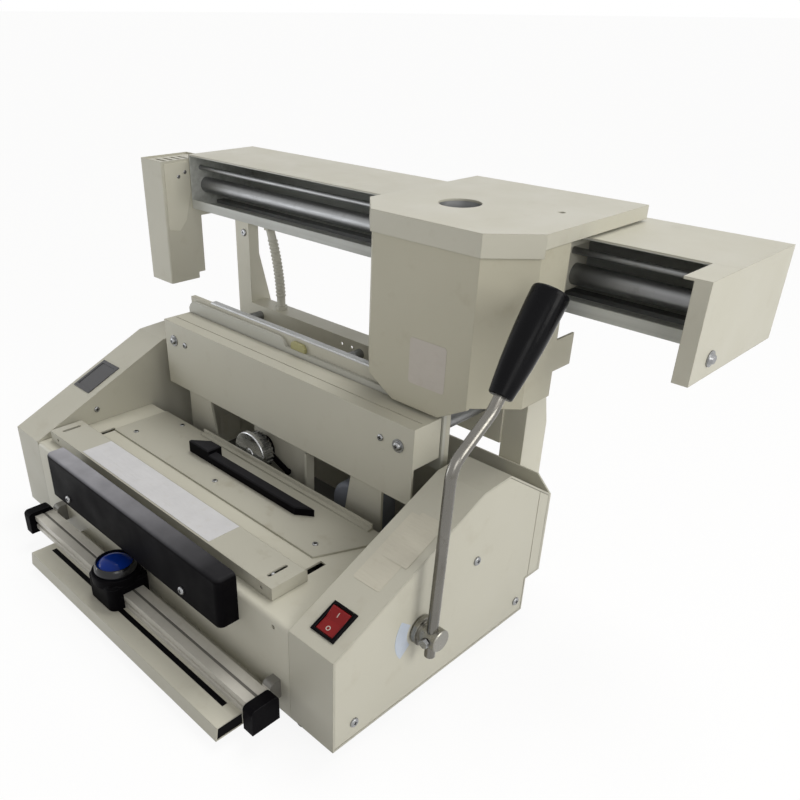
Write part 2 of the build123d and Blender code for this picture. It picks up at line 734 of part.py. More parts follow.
def jaw_profile():
    """Front jaw from the side: tall front wall, top flange and short rear wall."""
    low, high = (up(z) for z in JAW_Z)
    back = JAW_FRONT + JAW_DEPTH
    box_low = up(JAW_BOX_Z)
    outer = polygon(
        (JAW_FRONT, low),
        (JAW_FRONT, high),
        (back, high),
        (back, box_low),
        (JAW_FRONT + SHEET, box_low),
        (JAW_FRONT + SHEET, low),
    )
    inner = polygon(
        (JAW_FRONT + SHEET, box_low - 1),
        (JAW_FRONT + SHEET, high - SHEET),
        (back - SHEET, high - SHEET),
        (back - SHEET, box_low - 1),
    )
    return outer - inner


def front_jaw():
    jaw = side_prism(jaw_profile(), -JAW_HALF, JAW_HALF)
    depth = (JAW_FRONT, JAW_FRONT + JAW_DEPTH)
    for start in (-JAW_HALF, JAW_HALF - SHEET):
        jaw += block((start, start + SHEET), depth, (up(JAW_BOX_Z), up(JAW_Z[1])))
    top = up(JAW_Z[1])
    jaw -= block((-JAW_HALF + 4, JAW_HALF - 4), (depth[0] + 14, depth[0] + 15), (top - 0.8, top + 1))
    for x in (-ROD_SPACING, 0, ROD_SPACING):
        jaw -= bar_y(x, up(GUIDE_ROD_Z), GUIDE_ROD_RADIUS + RUN, depth[1] - SHEET - 1, depth[1] + 1)
    for x in (-ROD_SPACING, ROD_SPACING):
        jaw -= bar_y(x, up(GUIDE_ROD_Z), ROD_BOLT_RADIUS + RUN, depth[0] - 1, depth[0] + SHEET + 1)
    return screw_holes(jaw)


def jaw_supports():
    """Cheeks under both ends of the jaw and the web that carries the lead screw."""
    depth = (JAW_FRONT + SHEET, JAW_FRONT + SHEET + THICK_SHEET)
    floor = up(THICK_SHEET)
    cheeks = []
    head = up(JAW_Z[0] + 20)
    for side in (-1, 1):
        near, far = (side * value for value in CHEEK_X)
        foot = near - side * CHEEK_STEP
        outline = polygon((near, head), (far, head), (far, floor), (foot, floor), (foot, head / 2))
        cheek = extrude(Plane.XZ.offset(-depth[1]) * outline, THICK_SHEET, dir=(0, -1, 0))
        cheeks.append(cheek)
    height = (floor, up(WEB_TOP))
    back = SUPPORT_Y + THICK_SHEET
    web = block(WEB_X, (SUPPORT_Y, back), height)
    web += block((WEB_X[1] - THICK_SHEET, WEB_X[1]), (SUPPORT_Y - WEB_RETURN, back), height)
    web -= bar_y(SCREW_X, up(SCREW_Z), SCREW_RADIUS + 4, SUPPORT_Y - 5, SUPPORT_Y + 9)
    return cheeks + [web]


def screw_bearings():
    """A flanged bush in the web and a bearing block on the rear casing."""
    z = up(SCREW_Z)
    bush = bar_y(SCREW_X, z, SCREW_RADIUS + 4, SUPPORT_Y, SUPPORT_Y + THICK_SHEET + 4)
    bush += bar_y(SCREW_X, z, SCREW_RADIUS + 8, SUPPORT_Y + THICK_SHEET, SUPPORT_Y + THICK_SHEET + 3)
    back = CABINET_DEPTH - SHEET
    pillow = block((SCREW_X - 15, SCREW_X + 15), (back - 9, back), (z - 15, z + 15))
    pillow = fillet(pillow.edges().filter_by(Axis.Y), 5)
    hole = bar_y(SCREW_X, z, SCREW_RADIUS + RUN, SUPPORT_Y - 5, back - 2)
    return [bush - hole, pillow - hole]


def guide_rods():
    z = up(GUIDE_ROD_Z)
    back = BEAM_FRONT + SHEET + 6
    rods = [bar_y(0, z, GUIDE_ROD_RADIUS, JAW_FRONT + JAW_DEPTH - SHEET, back)]
    front = JAW_FRONT + SHEET
    for x in (-ROD_SPACING, ROD_SPACING):
        rod = bar_y(x, z, GUIDE_ROD_RADIUS, front, back)
        rods.append(rod - bar_y(x, z, ROD_BOLT_RADIUS + RUN, front - 1, front + ROD_BOLT_LENGTH))
    return rods


def rod_bolts():
    """Washers and round-headed bolts that hold the outer guide rods to the front jaw."""
    bolts = []
    thick = 1.2
    for x in (-ROD_SPACING, ROD_SPACING):
        washer = Cylinder(6.5, thick, align=(Align.CENTER, Align.CENTER, Align.MIN))
        washer -= Cylinder(ROD_BOLT_RADIUS + RUN, 9)
        bolt = Pos(0, 0, thick) * button_screw(4.2, 3, ROD_BOLT_RADIUS, ROD_BOLT_LENGTH)
        seat = facing(x, JAW_FRONT, up(GUIDE_ROD_Z), (0, -1, 0))
        bolts += [seat * washer, seat * bolt]
    return bolts


def rear_jaw_start():
    return JAW_FRONT + JAW_DEPTH + CLAMP_GAP


def rear_jaw():
    """The sliding jaw plate, bored for the rods, with the arm that holds its nut."""
    front = rear_jaw_start() + FACING_THICKNESS
    back = front + REAR_JAW_THICKNESS
    low, high = (up(z) for z in REAR_JAW_Z)
    plate = block((-FACING_HALF, FACING_HALF), (front, back), (low, high - SHEET))
    arm = block((SCREW_X - 20, SCREW_X + 20), (front, back), (up(SCREW_Z) - 18, low + 1))
    nut = bar_y(SCREW_X, up(SCREW_Z), 13, front - 6, back + 4)
    jaw = plate + arm + nut
    for x in (-ROD_SPACING, 0, ROD_SPACING):
        jaw += bar_y(x, up(GUIDE_ROD_Z), GUIDE_ROD_RADIUS + 4, back, back + 8)
        jaw -= bar_y(x, up(GUIDE_ROD_Z), GUIDE_ROD_RADIUS + RUN, front - 1, back + 9)
    return jaw - bar_y(SCREW_X, up(SCREW_Z), SCREW_RADIUS + RUN, front - 9, back + 9)


def rear_jaw_facing():
    """The pale pressing face: tall with rounded corners at the left, low at the right."""
    front = rear_jaw_start()
    low, high = up(REAR_JAW_Z[0]) + 4, up(REAR_JAW_Z[1]) - FACING_DROP
    step = up(REAR_JAW_Z[1]) - FACING_LOW
    tall = Rectangle(FACING_STEP_X + FACING_HALF, high - low)
    tall = fillet(tall.vertices().group_by(Axis.Y)[-1], FACING_CORNER)
    tall = Pos((FACING_STEP_X - FACING_HALF) / 2, (high + low) / 2) * tall
    short = Pos(0, (step + low) / 2) * Rectangle(2 * FACING_HALF, step - low)
    face = Plane.XZ.offset(-front) * (tall + short)
    plate = extrude(face, FACING_THICKNESS, dir=(0, 1, 0))
    for x in (-ROD_SPACING, 0, ROD_SPACING):
        plate -= bar_y(x, up(GUIDE_ROD_Z), GUIDE_ROD_RADIUS + RUN, front - 1, front + FACING_THICKNESS + 1)
    return plate


def spine_strip():
    """The bright steel strip along the rear jaw's top edge."""
    front = rear_jaw_start() + FACING_THICKNESS
    back = front + REAR_JAW_THICKNESS
    high = up(REAR_JAW_Z[1])
    ends = (SPINE_INSET - FACING_HALF, FACING_HALF)
    return block(ends, (front, back + 1.5), (high - SHEET, high)) + block(ends, (back, back + 1.5), (high - 12, high))


def centre_block():
    """The tapered block on the facing's low part, beside the end of its tall part."""
    front = rear_jaw_start()
    low = up(REAR_JAW_Z[1]) - FACING_LOW
    high = up(REAR_JAW_Z[1]) - FACING_DROP
    start, end = BLOCK_X
    outline = polygon((start, low), (end, low), (end - 3, high), (start + 3, high))
    return extrude(Plane.XZ.offset(-front) * outline, FACING_THICKNESS, dir=(0, 1, 0))


def lead_screw():
    """The lead screw as a plain bar, whose thread is left to its finish."""
    return bar_y(SCREW_X, up(SCREW_Z), SCREW_RADIUS, SCREW_START, CABINET_DEPTH - SHEET - 2.5)


def crank_wheel():
    """The bright wheel on the screw's front end, with its fluted hub behind it."""
    z = up(SCREW_Z)
    back = WHEEL_Y + WHEEL_THICKNESS
    wheel = bar_y(SCREW_X, z, WHEEL_RADIUS, WHEEL_Y, back)
    wheel = fillet(wheel.edges().group_by(Axis.Y)[0], 1.5)
    wheel += bar_y(SCREW_X, z, HUB_RIB_RADIUS, back, HUB_END)
    for turn in range(HUB_RIBS):
        angle = 2 * math.pi * turn / HUB_RIBS
        rib = (SCREW_X + HUB_RIB_RADIUS * math.cos(angle), z + HUB_RIB_RADIUS * math.sin(angle))
        wheel -= bar_y(*rib, HUB_FLUTE, back, HUB_END + 1)
    return wheel - bar_y(SCREW_X, z, SCREW_RADIUS, WHEEL_Y - 1, HUB_END + 1)


def crank_handle():
    """The black crank arm with its ball end."""
    z = up(SCREW_Z)
    boss = bar_y(SCREW_X, z, 14, CRANK_Y - 3.3, CRANK_Y + 3.3)
    arm = Pos(SCREW_X + CRANK_LENGTH / 2, CRANK_Y, z) * Rot(0, 90, 0) * Cone(3.3, 2.7, CRANK_LENGTH)
    ball = Pos(SCREW_X + CRANK_LENGTH, CRANK_Y, z) * Sphere(3.6)
    handle = boss + arm + ball - bar_y(SCREW_X, z, SCREW_RADIUS, CRANK_Y - 5, CRANK_Y + 5)
    return Pos(SCREW_X, 0, z) * Rot(0, CRANK_SLANT, 0) * Pos(-SCREW_X, 0, -z) * handle


def cover_housing():
    """The domed grey housing on the floor behind the jaw's right cheek."""
    wide, deep, high = COVER_SIZE
    outline = Pos(0, up(THICK_SHEET) + high / 2) * Rectangle(wide, high)
    outline = fillet(outline.vertices().group_by(Axis.Y)[-1], COVER_ARCH)
    hood = extrude(Plane.XZ.offset(-JAW_FRONT - 8.5) * outline, deep, dir=(0, 1, 0))
    hood = fillet(hood.edges().group_by(Axis.Y)[0].group_by(Axis.Z)[-1], 5)
    return Pos(CHEEK_X[0] - 8, 0, 0) * hood


# Posts and gantry


def post(side):
    """A channel post, deeper at its foot, with gussets left and right."""
    near, far = POST_X
    shallow, deep = POST_DEPTHS
    low, high = up(THICK_SHEET), up(GANTRY_Z[0])
    outline = polygon(
        (POST_FRONT, low),
        (POST_FRONT, high),
        (POST_FRONT + shallow, high),
        (POST_FRONT + shallow, up(BEAM_Z[1]) + 60),
        (POST_FRONT + deep, up(BEAM_Z[1]) - 30),
        (POST_FRONT + deep, low),
    )
    solid = side_prism(outline, near, far)
    solid -= block((near + SHEET, far - SHEET), (POST_FRONT + SHEET, POST_FRONT + deep + 1), (low + SHEET, high - SHEET))
    solid = solid if side > 0 else mirror(solid, about=Plane.YZ)
    return screw_holes(solid)


def rear_beam():
    """The channel between the posts, open to the rear, that anchors the guide rods."""
    half = POST_X[0] - RUN
    low, high = (up(z) for z in BEAM_Z)
    beam = block((-half, half), (BEAM_FRONT, BEAM_FRONT + BEAM_DEPTH), (low, high))
    beam -= block((-half - 1, half + 1), (BEAM_FRONT + SHEET, BEAM_FRONT + BEAM_DEPTH + 1), (low + SHEET, high - SHEET))
    for x in (-ROD_SPACING, 0, ROD_SPACING):
        beam -= bar_y(x, up(GUIDE_ROD_Z), GUIDE_ROD_RADIUS + RUN, BEAM_FRONT - 1, BEAM_FRONT + SHEET + 1)
    for x in (-30, -14):
        beam -= bar_y(x, high - 9, 2, BEAM_FRONT - 1, BEAM_FRONT + SHEET + 1)
    beam -= bar_z(CONDUIT_X, CONDUIT_Y, CONDUIT_BORE, high - 5, high + 1)
    return beam


def gantry_channel():
    """Top plate, rear wall, floor and low front lip, folded from one sheet."""
    low, high = (up(z) for z in GANTRY_Z)
    front, back = GANTRY_Y
    left, right = GANTRY_ENDS
    channel = block((left, right - SHEET), (front, back), (low, high))
    channel -= block((left + SHEET, right), (front + SHEET, back - SHEET), (low + SHEET, high - SHEET))
    channel -= block((left + SHEET, right), (front - 1, front + SHEET), (low + GANTRY_LIP, high - SHEET))
    return channel - bar_z(CONDUIT_X - CONDUIT_LEAN, CONDUIT_Y, CONDUIT_BORE, low - 1, low + SHEET + 1)


def end_cap():
    """The deeper box end of the gantry: side plate, front flange and forward top."""
    low, high = up(END_CAP_BOTTOM), up(GANTRY_Z[1])
    right = GANTRY_ENDS[1]
    side = block((right - SHEET, right), (END_CAP_FRONT, GANTRY_Y[1]), (low, high))
    flange = block((right - END_CAP_FLANGE, right), (END_CAP_FRONT, END_CAP_FRONT + SHEET), (low, high))
    top = block((right - END_CAP_WIDTH, right), (END_CAP_FRONT, GANTRY_Y[0]), (high - SHEET, high))
    cap = side + flange + top
    y, z = END_BOLT
    return cap - bar_x(y, up(z), 3, right - SHEET - 1, right + 1)


def end_bolt():
    """The domed bolt and washer in the end cap's side."""
    right = GANTRY_ENDS[1]
    washer = Pos(0, 0, 0.6) * Cylinder(6.5, 1.2)
    head = Pos(0, 0, 1.2) * Cone(4.8, 3.4, END_BOLT_HEAD - 1.2, align=(Align.CENTER, Align.CENTER, Align.MIN))
    shank = Cylinder(2.9, 10, align=(Align.CENTER, Align.CENTER, Align.MAX))
    y, z = END_BOLT
    return facing(right, y, up(z), (1, 0, 0)) * (washer + head + shank)


def main_rail():
    return bar_x(RAIL_Y, up(RAIL_Z), RAIL_RADIUS, GANTRY_ENDS[0] + SHEET, GANTRY_ENDS[1] - SHEET)


def guide_bars():
    """The thin rod above the rail that keeps the carriage from turning, and the floor strip below it."""
    ends = (GANTRY_ENDS[0] + SHEET, GANTRY_ENDS[1] - SHEET)
    rod = bar_x(GUIDE_BAR_Y, up(GUIDE_BAR_Z), GUIDE_BAR_RADIUS, *ends)
    floor = up(GANTRY_Z[0]) + SHEET
    strip = block(ends, (RAIL_Y + 14, RAIL_Y + 26), (floor, floor + 4))
    return [rod, strip]


def hanging_unit():
    """The tall box at the gantry's left end: recessed top, stepped rear and open foot."""
    left, right = UNIT_LEFT, GANTRY_ENDS[0]
    (front, back), (low, high) = UNIT_Y, (up(z) for z in UNIT_Z)
    notch_y, notch_z = UNIT_NOTCH
    foot_y, foot_z = UNIT_FOOT
    outline = polygon(
        (front, low),
        (front, high),
        (back, high),
        (back, low + notch_z),
        (back - notch_y, low + notch_z),
        (back - notch_y, low + foot_z),
        (back - notch_y - foot_y, low + foot_z),
        (back - notch_y - foot_y, low),
    )
    solid = side_prism(outline, left, right)
    solid = fillet(solid.edges().filter_by(Axis.Z).group_by(Axis.Y)[0], 3)
    inside = side_prism(offset(outline, -SHEET, kind=Kind.INTERSECTION), left + SHEET, right - SHEET)
    inside += block((left + SHEET, right - SHEET), (front + SHEET, back - notch_y - foot_y - SHEET), (low - 1, low + 4))
    recess = block((left + SHEET, right - SHEET), (front + SHEET, back - SHEET), (high - UNIT_RECESS, high + 1))
    return solid - inside - recess


def unit_top():
    """The slotted plate in the hanging unit's recess."""
    left, right = UNIT_LEFT, GANTRY_ENDS[0]
    high = up(UNIT_Z[1])
    plate = block(
        (left + SHEET + GAP, right - SHEET - GAP),
        (UNIT_Y[0] + SHEET + GAP, UNIT_Y[1] - SHEET - GAP),
        (high - UNIT_RECESS, high - UNIT_RECESS + SHEET),
    )
    middle = (left + right) / 2
    for step in range(UNIT_SLOTS):
        y = UNIT_Y[0] + 15 + 11 * step
        plate -= plan_prism(Pos(middle, y) * SlotOverall(26, 4), high - 2 * UNIT_RECESS, high)
    return plate


# Ribbed conduit


def conduit_ends():
    low = up(BEAM_Z[1]) + GLAND_HEIGHT
    high = up(GANTRY_Z[0]) - GLAND_HEIGHT
    return low, high


def conduit_x(z):
    """The hose rises straight from the beam and leans more and more to the left."""
    low, high = conduit_ends()
    return CONDUIT_X - CONDUIT_LEAN * ((z - low) / (high - low)) ** 2


def conduit():
    """A corrugated hose with its bore: each rib is lofted through four circles."""
    low, high = conduit_ends()
    plain = 2 * CONDUIT_RADIUS
    pitch = (high - low - 2 * plain) / RIB_COUNT
    rib_stations = ((0.25, 0), (0.4, CONDUIT_RIB), (0.7, CONDUIT_RIB), (0.85, 0))
    stations = [(low, 0), (low + plain, 0)]
    for rib in range(RIB_COUNT):
        start = low + plain + rib * pitch
        stations += [(start + pitch * share, rise) for share, rise in rib_stations]
    stations += [(high - plain + pitch * 0.2, 0), (high, 0)]
    hose = loft([conduit_circle(z, CONDUIT_RADIUS + rise) for z, rise in stations], ruled=True)
    bore = loft([conduit_circle(z, CONDUIT_BORE) for z, rise in stations], ruled=True)
    return hose - bore


def conduit_circle(z, radius):
    return Pos(conduit_x(z), CONDUIT_Y, z) * Circle(radius)


def conduit_glands():
    """The nuts that hold the conduit's ends on the beam and under the gantry."""
    low, high = conduit_ends()
    glands = []
    for x, start in ((conduit_x(low), low - GLAND_HEIGHT), (conduit_x(high), high)):
        gland = extrude(Pos(x, CONDUIT_Y, start) * RegularPolygon(GLAND_RADIUS, 6), GLAND_HEIGHT)
        glands.append(gland - bar_z(x, CONDUIT_Y, CONDUIT_BORE, start - 1, start + GLAND_HEIGHT + 1))
    return glands


# Glue carriage


def carriage_plan(half, front, back, cut):
    """The carriage's outline from above, with its front corners cut."""
    x = CARRIAGE_X
    return polygon(
        (x - half, back),
        (x - half, front + cut),
        (x - half + cut, front),
        (x + half - cut, front),
        (x + half, front + cut),
        (x + half, back),
    )


def carriage_lid():
    """A shallow lid with deep lips in front and shallow ones over the gantry."""
    front, back = LID_Y
    top = up(LID_TOP)
    solid = plan_prism(carriage_plan(LID_HALF, front, back, LID_CHAMFER), top - LID_FRONT_LIP, top)
    hollow = carriage_plan(LID_HALF - SHEET, front + SHEET, back - SHEET, LID_CHAMFER - SHEET * 0.6)
    lid = solid - plan_prism(hollow, top - LID_FRONT_LIP - 1, top - SHEET)
    over = block(
        (CARRIAGE_X - LID_HALF - 1, CARRIAGE_X + LID_HALF + 1),
        (front + LID_CHAMFER, back + 1),
        (0, top - LID_SIDE_LIP),
    )
    lid -= over
    lid -= bar_z(CARRIAGE_X + FILLER_X, FILLER_Y, FILLER_RADIUS, top - 9, top + 1)
    lid -= bar_z(CARRIAGE_X + LID_HOLE[0], LID_HOLE[1], 3.2, top - 9, top + 1)
    return lid


def carriage_body():
    """The skirted housing under the lid, cut to clear the jaws, with ears behind its sides."""
    half = LID_HALF - BODY_MARGIN
    front = LID_Y[0] + BODY_MARGIN - 1
    cut = LID_CHAMFER - 1.5
    top = up(LID_TOP) - SHEET
    wall = plan_prism(carriage_plan(half, front, BODY_REAR, cut), up(SKIRT_Z), top)
    inside = carriage_plan(half - SHEET, front + SHEET, BODY_REAR + 1, cut - SHEET * 0.6)
    wall -= plan_prism(inside, up(SKIRT_Z) - 1, top + 1)
    wall -= block((CARRIAGE_X - half - 1, CARRIAGE_X + half + 1), (front + SHEET, BODY_REAR + 1), (0, up(SIDE_Z)))
    flat = half - cut
    for side in (-1, 1):
        tip = CARRIAGE_X + side * (flat + 4)
        corner = polygon((tip, up(SKIRT_Z) - 1), (tip - side * SKIRT_CUT, up(SKIRT_Z) - 1), (tip, up(SIDE_Z)))
        wall -= extrude(Plane.XZ.offset(-front + 1) * corner, SHEET + 8, dir=(0, 1, 0))
    for side in (-1, 1):
        edge = CARRIAGE_X + side * half
        start, end = sorted((edge, edge - side * SHEET))
        wall += block((start, end), (BODY_REAR - 1, BODY_REAR + EAR_DEPTH), (up(EAR_Z[0]), up(EAR_Z[1])))
    return wall


def glue_tank():
    """A hopper whose mouth closes on the roller, with cheeks that carry the roller's pins."""
    low, high = (up(z) for z in TANK_Z)
    axis_z = up(ROLLER_BOTTOM) + ROLLER_RADIUS
    neck = ROLLER_RADIUS + 5
    outline = polygon(
        (-TANK_HALF, high),
        (-TANK_HALF, high - TANK_SHOULDER),
        (-neck, axis_z + 6),
        (-neck, low),
        (neck, low),
        (neck, axis_z + 6),
        (TANK_HALF, high - TANK_SHOULDER),
        (TANK_HALF, high),
    )
    inner = polygon(
        (-TANK_HALF + TANK_WALL, high + 1),
        (-TANK_HALF + TANK_WALL, high - TANK_SHOULDER + 1),
        (-neck + 8, axis_z + ROLLER_RADIUS - 4),
        (neck - 8, axis_z + ROLLER_RADIUS - 4),
        (TANK_HALF - TANK_WALL, high - TANK_SHOULDER + 1),
        (TANK_HALF - TANK_WALL, high + 1),
    )
    front, back = TANK_Y
    tank = extrude(Plane.XZ.offset(-front) * outline, back - front, dir=(0, 1, 0))
    tank -= extrude(Plane.XZ.offset(-front - TANK_WALL) * inner, back - front - 2 * TANK_WALL, dir=(0, 1, 0))
    nest = bar_y(0, axis_z, ROLLER_RADIUS + 0.5, ROLLER_Y[0] - 0.6, ROLLER_Y[1] + 0.6)
    tank -= nest + bar_y(0, axis_z, ROLLER_PIN + RUN, ROLLER_Y[0] - 4, ROLLER_Y[1] + 4)
    under = block((-neck - 1, neck + 1), (ROLLER_Y[1] + 4, back + 1), (low - 1, axis_z + 20))
    tank -= under
    flange = block((-LID_HALF + BODY_MARGIN + SHEET + GAP, -TANK_HALF), TANK_FLANGE_Y, (high - 3, high))
    return Pos(CARRIAGE_X, 0, 0) * (tank + flange + mirror(flange, about=Plane.YZ))


def glue_roller():
    """The roller that carries glue from the hopper's mouth onto the spine."""
    axis_z = up(ROLLER_BOTTOM) + ROLLER_RADIUS
    roller = bar_y(CARRIAGE_X, axis_z, ROLLER_RADIUS, *ROLLER_Y)
    return roller + bar_y(CARRIAGE_X, axis_z, ROLLER_PIN, ROLLER_Y[0] - 3.4, ROLLER_Y[1] + 3.4)


def carriage_bracket():
    """The bearing blocks on the rail, under a plate whose web is bolted to the tank's back."""
    low = up(BRACKET_Z)
    half = BEARING_X[1] + 8
    depth = (RAIL_Y - BEARING_HALF, RAIL_Y + BEARING_HALF)
    web_front = TANK_Y[1] + GAP
    bracket = block((-half, half), (web_front, depth[1]), (low, low + 4))
    bracket += block((-half, half), (web_front, web_front + BRACKET_WEB), (up(TANK_Z[1] - 24), low))
    for side in (-1, 1):
        start, end = sorted(side * x for x in BEARING_X)
        bearing = block((start, end), depth, (up(RAIL_Z - BEARING_DROP), low))
        bracket += fillet(bearing.edges().filter_by(Axis.X).group_by(Axis.Z)[0], 5)
    bracket -= bar_x(RAIL_Y, up(RAIL_Z), RAIL_RADIUS + RUN, -200, 200)
    bracket -= bar_x(GUIDE_BAR_Y, up(GUIDE_BAR_Z), GUIDE_BAR_RADIUS + RUN, -200, 200)
    return Pos(CARRIAGE_X, 0, 0) * bracket


def heat_block():
    """The tan insulating block low in the carriage's right side."""
    x = CARRIAGE_X + LID_HALF - BODY_MARGIN - SHEET
    low = up(SIDE_Z) + 2
    brick = block((x - 16, x - GAP), (GUARD_Y[0] + 2, GUARD_Y[1]), (low, low + 18))
    return fillet(brick.edges().filter_by(Axis.Y).group_by(Axis.Z)[0], 3)


def drip_guard():
    """A bent sheet under the body's right side that keeps drips off the table."""
    x = CARRIAGE_X + LID_HALF - BODY_MARGIN - SHEET
    low = up(SIDE_Z)
    return block((TANK_HALF + CARRIAGE_X - 18, x - GAP), GUARD_Y, (low + 0.2, low + 1.7))


def filler_tube():
    """The tube from the lid's hole down into the tank."""
    x = CARRIAGE_X + FILLER_X
    top = up(LID_TOP) - SHEET
    tube = bar_z(x, FILLER_Y, FILLER_RADIUS + 2.5, up(TANK_Z[1]), top)
    return tube - bar_z(x, FILLER_Y, FILLER_RADIUS + 1, up(TANK_Z[1]) - 1, top + 1)


# Creaser


def strip_outline():
    return polygon(
        (-STRIP_FRONT, up(0)),
        (-STRIP_FRONT + STRIP_SLOPE, up(STRIP_HEIGHT)),
        (0, up(STRIP_HEIGHT)),
        (0, up(0)),
    )


def plug_outline():
    """The black plug's outline, inside the strip's and in front of the rail."""
    inside = offset(strip_outline(), -1.2, kind=Kind.INTERSECTION)
    front, back = -STRIP_FRONT, CREASE_RAIL_Y[0]
    return inside & polygon((front, up(0)), (back, up(0)), (back, up(STRIP_HEIGHT)), (front, up(STRIP_HEIGHT)))


def creaser_base():
    """The cream strip in front of the machine, with the creasing groove in it and a recess in its right end."""
    top = up(STRIP_HEIGHT)
    right = STRIP_ENDS[1]
    strip = side_prism(strip_outline(), *STRIP_ENDS)
    strip -= block(GROOVE_ENDS, (GROOVE_Y - 1.6, GROOVE_Y + 1.6), (top - 4, top + 1))
    return strip - side_prism(plug_outline(), right - STRIP_PLUG, right + 1)


def creaser_rail():
    """The aluminium extrusion, with two raised tracks over undercut sides, and its brackets to the front panel."""
    front, back = CREASE_RAIL_Y
    low = up(STRIP_HEIGHT)
    high = low + CREASE_RAIL_HEIGHT
    middle = (front + back) / 2
    outline = polygon((front, low), (front, high), (back, high), (back, low))
    outline -= Pos(middle, high) * Rectangle(3, 10)
    outline -= polygon((front - 1, low + 5), (front + 3, low + 6), (front + 3, low + 9), (front - 1, low + 10))
    outline -= polygon((back + 1, low + 5), (back - 3, low + 6), (back - 3, low + 9), (back + 1, low + 10))
    left, right = CREASE_RAIL_ENDS
    brackets = []
    for start in (left, right - CREASE_BRACKET):
        bracket = block((start, start + CREASE_BRACKET), (back, 0), [up(z) for z in CREASE_BRACKET_Z])
        brackets.append(fillet(bracket.edges().filter_by(Axis.X).group_by(Axis.Z)[-1].sort_by(Axis.Y)[0], 5))
    return [side_prism(outline, left, right)] + brackets


def creaser_caps():
    """The black caps on the rail's ends and the plug in the strip's end."""
    left, right = CREASE_RAIL_ENDS
    low, high = (up(z) for z in CREASE_CAP_Z)
    caps = [side_prism(plug_outline(), STRIP_ENDS[1] - STRIP_PLUG, STRIP_ENDS[1] - 0.5)]
    for start, end in ((left - CREASE_CAP_LENGTH, left), (right, right + CREASE_CAP_LENGTH)):
        cap = block((start, end), (CREASE_RAIL_Y[0] - 7, CREASE_RAIL_Y[1]), (low, high))
        caps.append(fillet(cap.edges().filter_by(Axis.X).group_by(Axis.Z)[-1], 5))
    return caps


def slider_body():
    """The black slider astride the rail, with the round well of the button on top."""
    front, back = SLIDER_Y
    low = up(STRIP_HEIGHT) + GAP
    rail_top = up(STRIP_HEIGHT + CREASE_RAIL_HEIGHT)
    top = up(SLIDER_TOP)
    body = block((-SLIDER_HALF, SLIDER_HALF), (front, back), (low, top))
    body = fillet(body.edges().filter_by(Axis.Z), 8)
    body = chamfer(body.faces().sort_by(Axis.Z)[-1].edges(), 2)
    collar = bar_z(0, BUTTON_Y, BUTTON_RADIUS + 3, top - 4, top + 6)
    collar = fillet(collar.edges().group_by(Axis.Z)[-1], 1.2)
    body += collar
    body -= block((-60, 60), (CREASE_RAIL_Y[0] - GAP, CREASE_RAIL_Y[1] + GAP), (low - 1, rail_top + GAP))
    body -= bar_z(0, BUTTON_Y, BUTTON_RADIUS + GAP, top - 4, top + 9)
    wheel_z = up(STRIP_HEIGHT) + CREASE_WHEEL_RADIUS + GAP
    body -= block((-11, 11), (GROOVE_Y - 2.4, GROOVE_Y + 2.4), (low - 1, wheel_z + CREASE_WHEEL_RADIUS + 2))
    body -= bar_y(0, wheel_z, 2 + RUN, GROOVE_Y - 5.4, GROOVE_Y + 3.9)
    return Pos(SLIDER_X, 0, 0) * body


def crease_button():
    """The blue domed palm button, with the stem's shoulder under it."""
    base = up(SLIDER_TOP) - 4 + BUTTON_STROKE + GAP
    rim = base + 4
    skirt = Cylinder(BUTTON_RADIUS, rim - base + 3, align=(Align.CENTER, Align.CENTER, Align.MIN))
    outline = Line((0, 0), (BUTTON_RADIUS, 0)) + ThreePointArc((BUTTON_RADIUS, 0), (BUTTON_RADIUS * 0.62, 8.4), (0, 11))
    dome = revolve(Plane.XZ * make_face(outline + Line((0, 11), (0, 0))), Axis.Z)
    return Pos(SLIDER_X, BUTTON_Y, base) * (skirt + Pos(0, 0, rim - base + 3) * dome)


def crease_wheel():
    """The creasing disc, thin at its edge, that runs over the groove."""
    wheel_z = up(STRIP_HEIGHT) + CREASE_WHEEL_RADIUS + GAP
    half = Polyline((-2, 0), (-2, 4), (-0.6, CREASE_WHEEL_RADIUS), (0.6, CREASE_WHEEL_RADIUS), (2, 4), (2, 0), (-2, 0))
    disc = revolve(make_face(half), Axis.X)
    disc += Rot(0, 90, 0) * Cylinder(2, 6.8)
    return Pos(SLIDER_X, GROOVE_Y, wheel_z) * Rot(0, 0, 90) * disc


# Switch, display and scale


def switch_bezel():
    """The black frame of the rocker switch, with its body behind the slope."""
    wide, long = SWITCH_SIZE
    frame = Pos(0, 0, 1) * Box(wide, long, 2)
    frame = chamfer(frame.faces().sort_by(Axis.Z)[-1].edges(), 0.8)
    body = Pos(0, 0, -8) * Box(wide - 4.4, long - 4.4, 16)
    well = Pos(0, 0, -3) * Box(ROCKER_SIZE[0] + 0.8, ROCKER_SIZE[1] + 1.6, 14)
    pivot = Pos(0, 0, -4) * Rot(0, 90, 0) * Cylinder(1.5 + RUN, ROCKER_SIZE[0] + 2.4)
    return on_slope(SWITCH_X, SWITCH_Y) * (frame + body - well - pivot)


def switch_rocker():
    """The red rocker: two sloping pads on a round-ended body, at rest with its lower pad down."""
    wide, long = ROCKER_SIZE
    reach = long / 2
    ends = Circle(reach) & Rectangle(long, 12)
    pads = polygon((-reach, -2), (-reach, 6.4), (0, 4.6), (reach, 6.4), (reach, -2))
    outline = (ends & Pos(0, -1) * Rectangle(long, 6)) + (pads & Circle(reach * 1.06))
    rocker = extrude(Plane.YZ.offset(-wide / 2) * outline, wide, dir=(1, 0, 0))
    rocker += Rot(0, 90, 0) * Cylinder(1.5, wide + 2)
    return on_slope(SWITCH_X, SWITCH_Y) * Pos(0, 0, -4) * Rot(ROCKER_TILT, 0, 0) * rocker


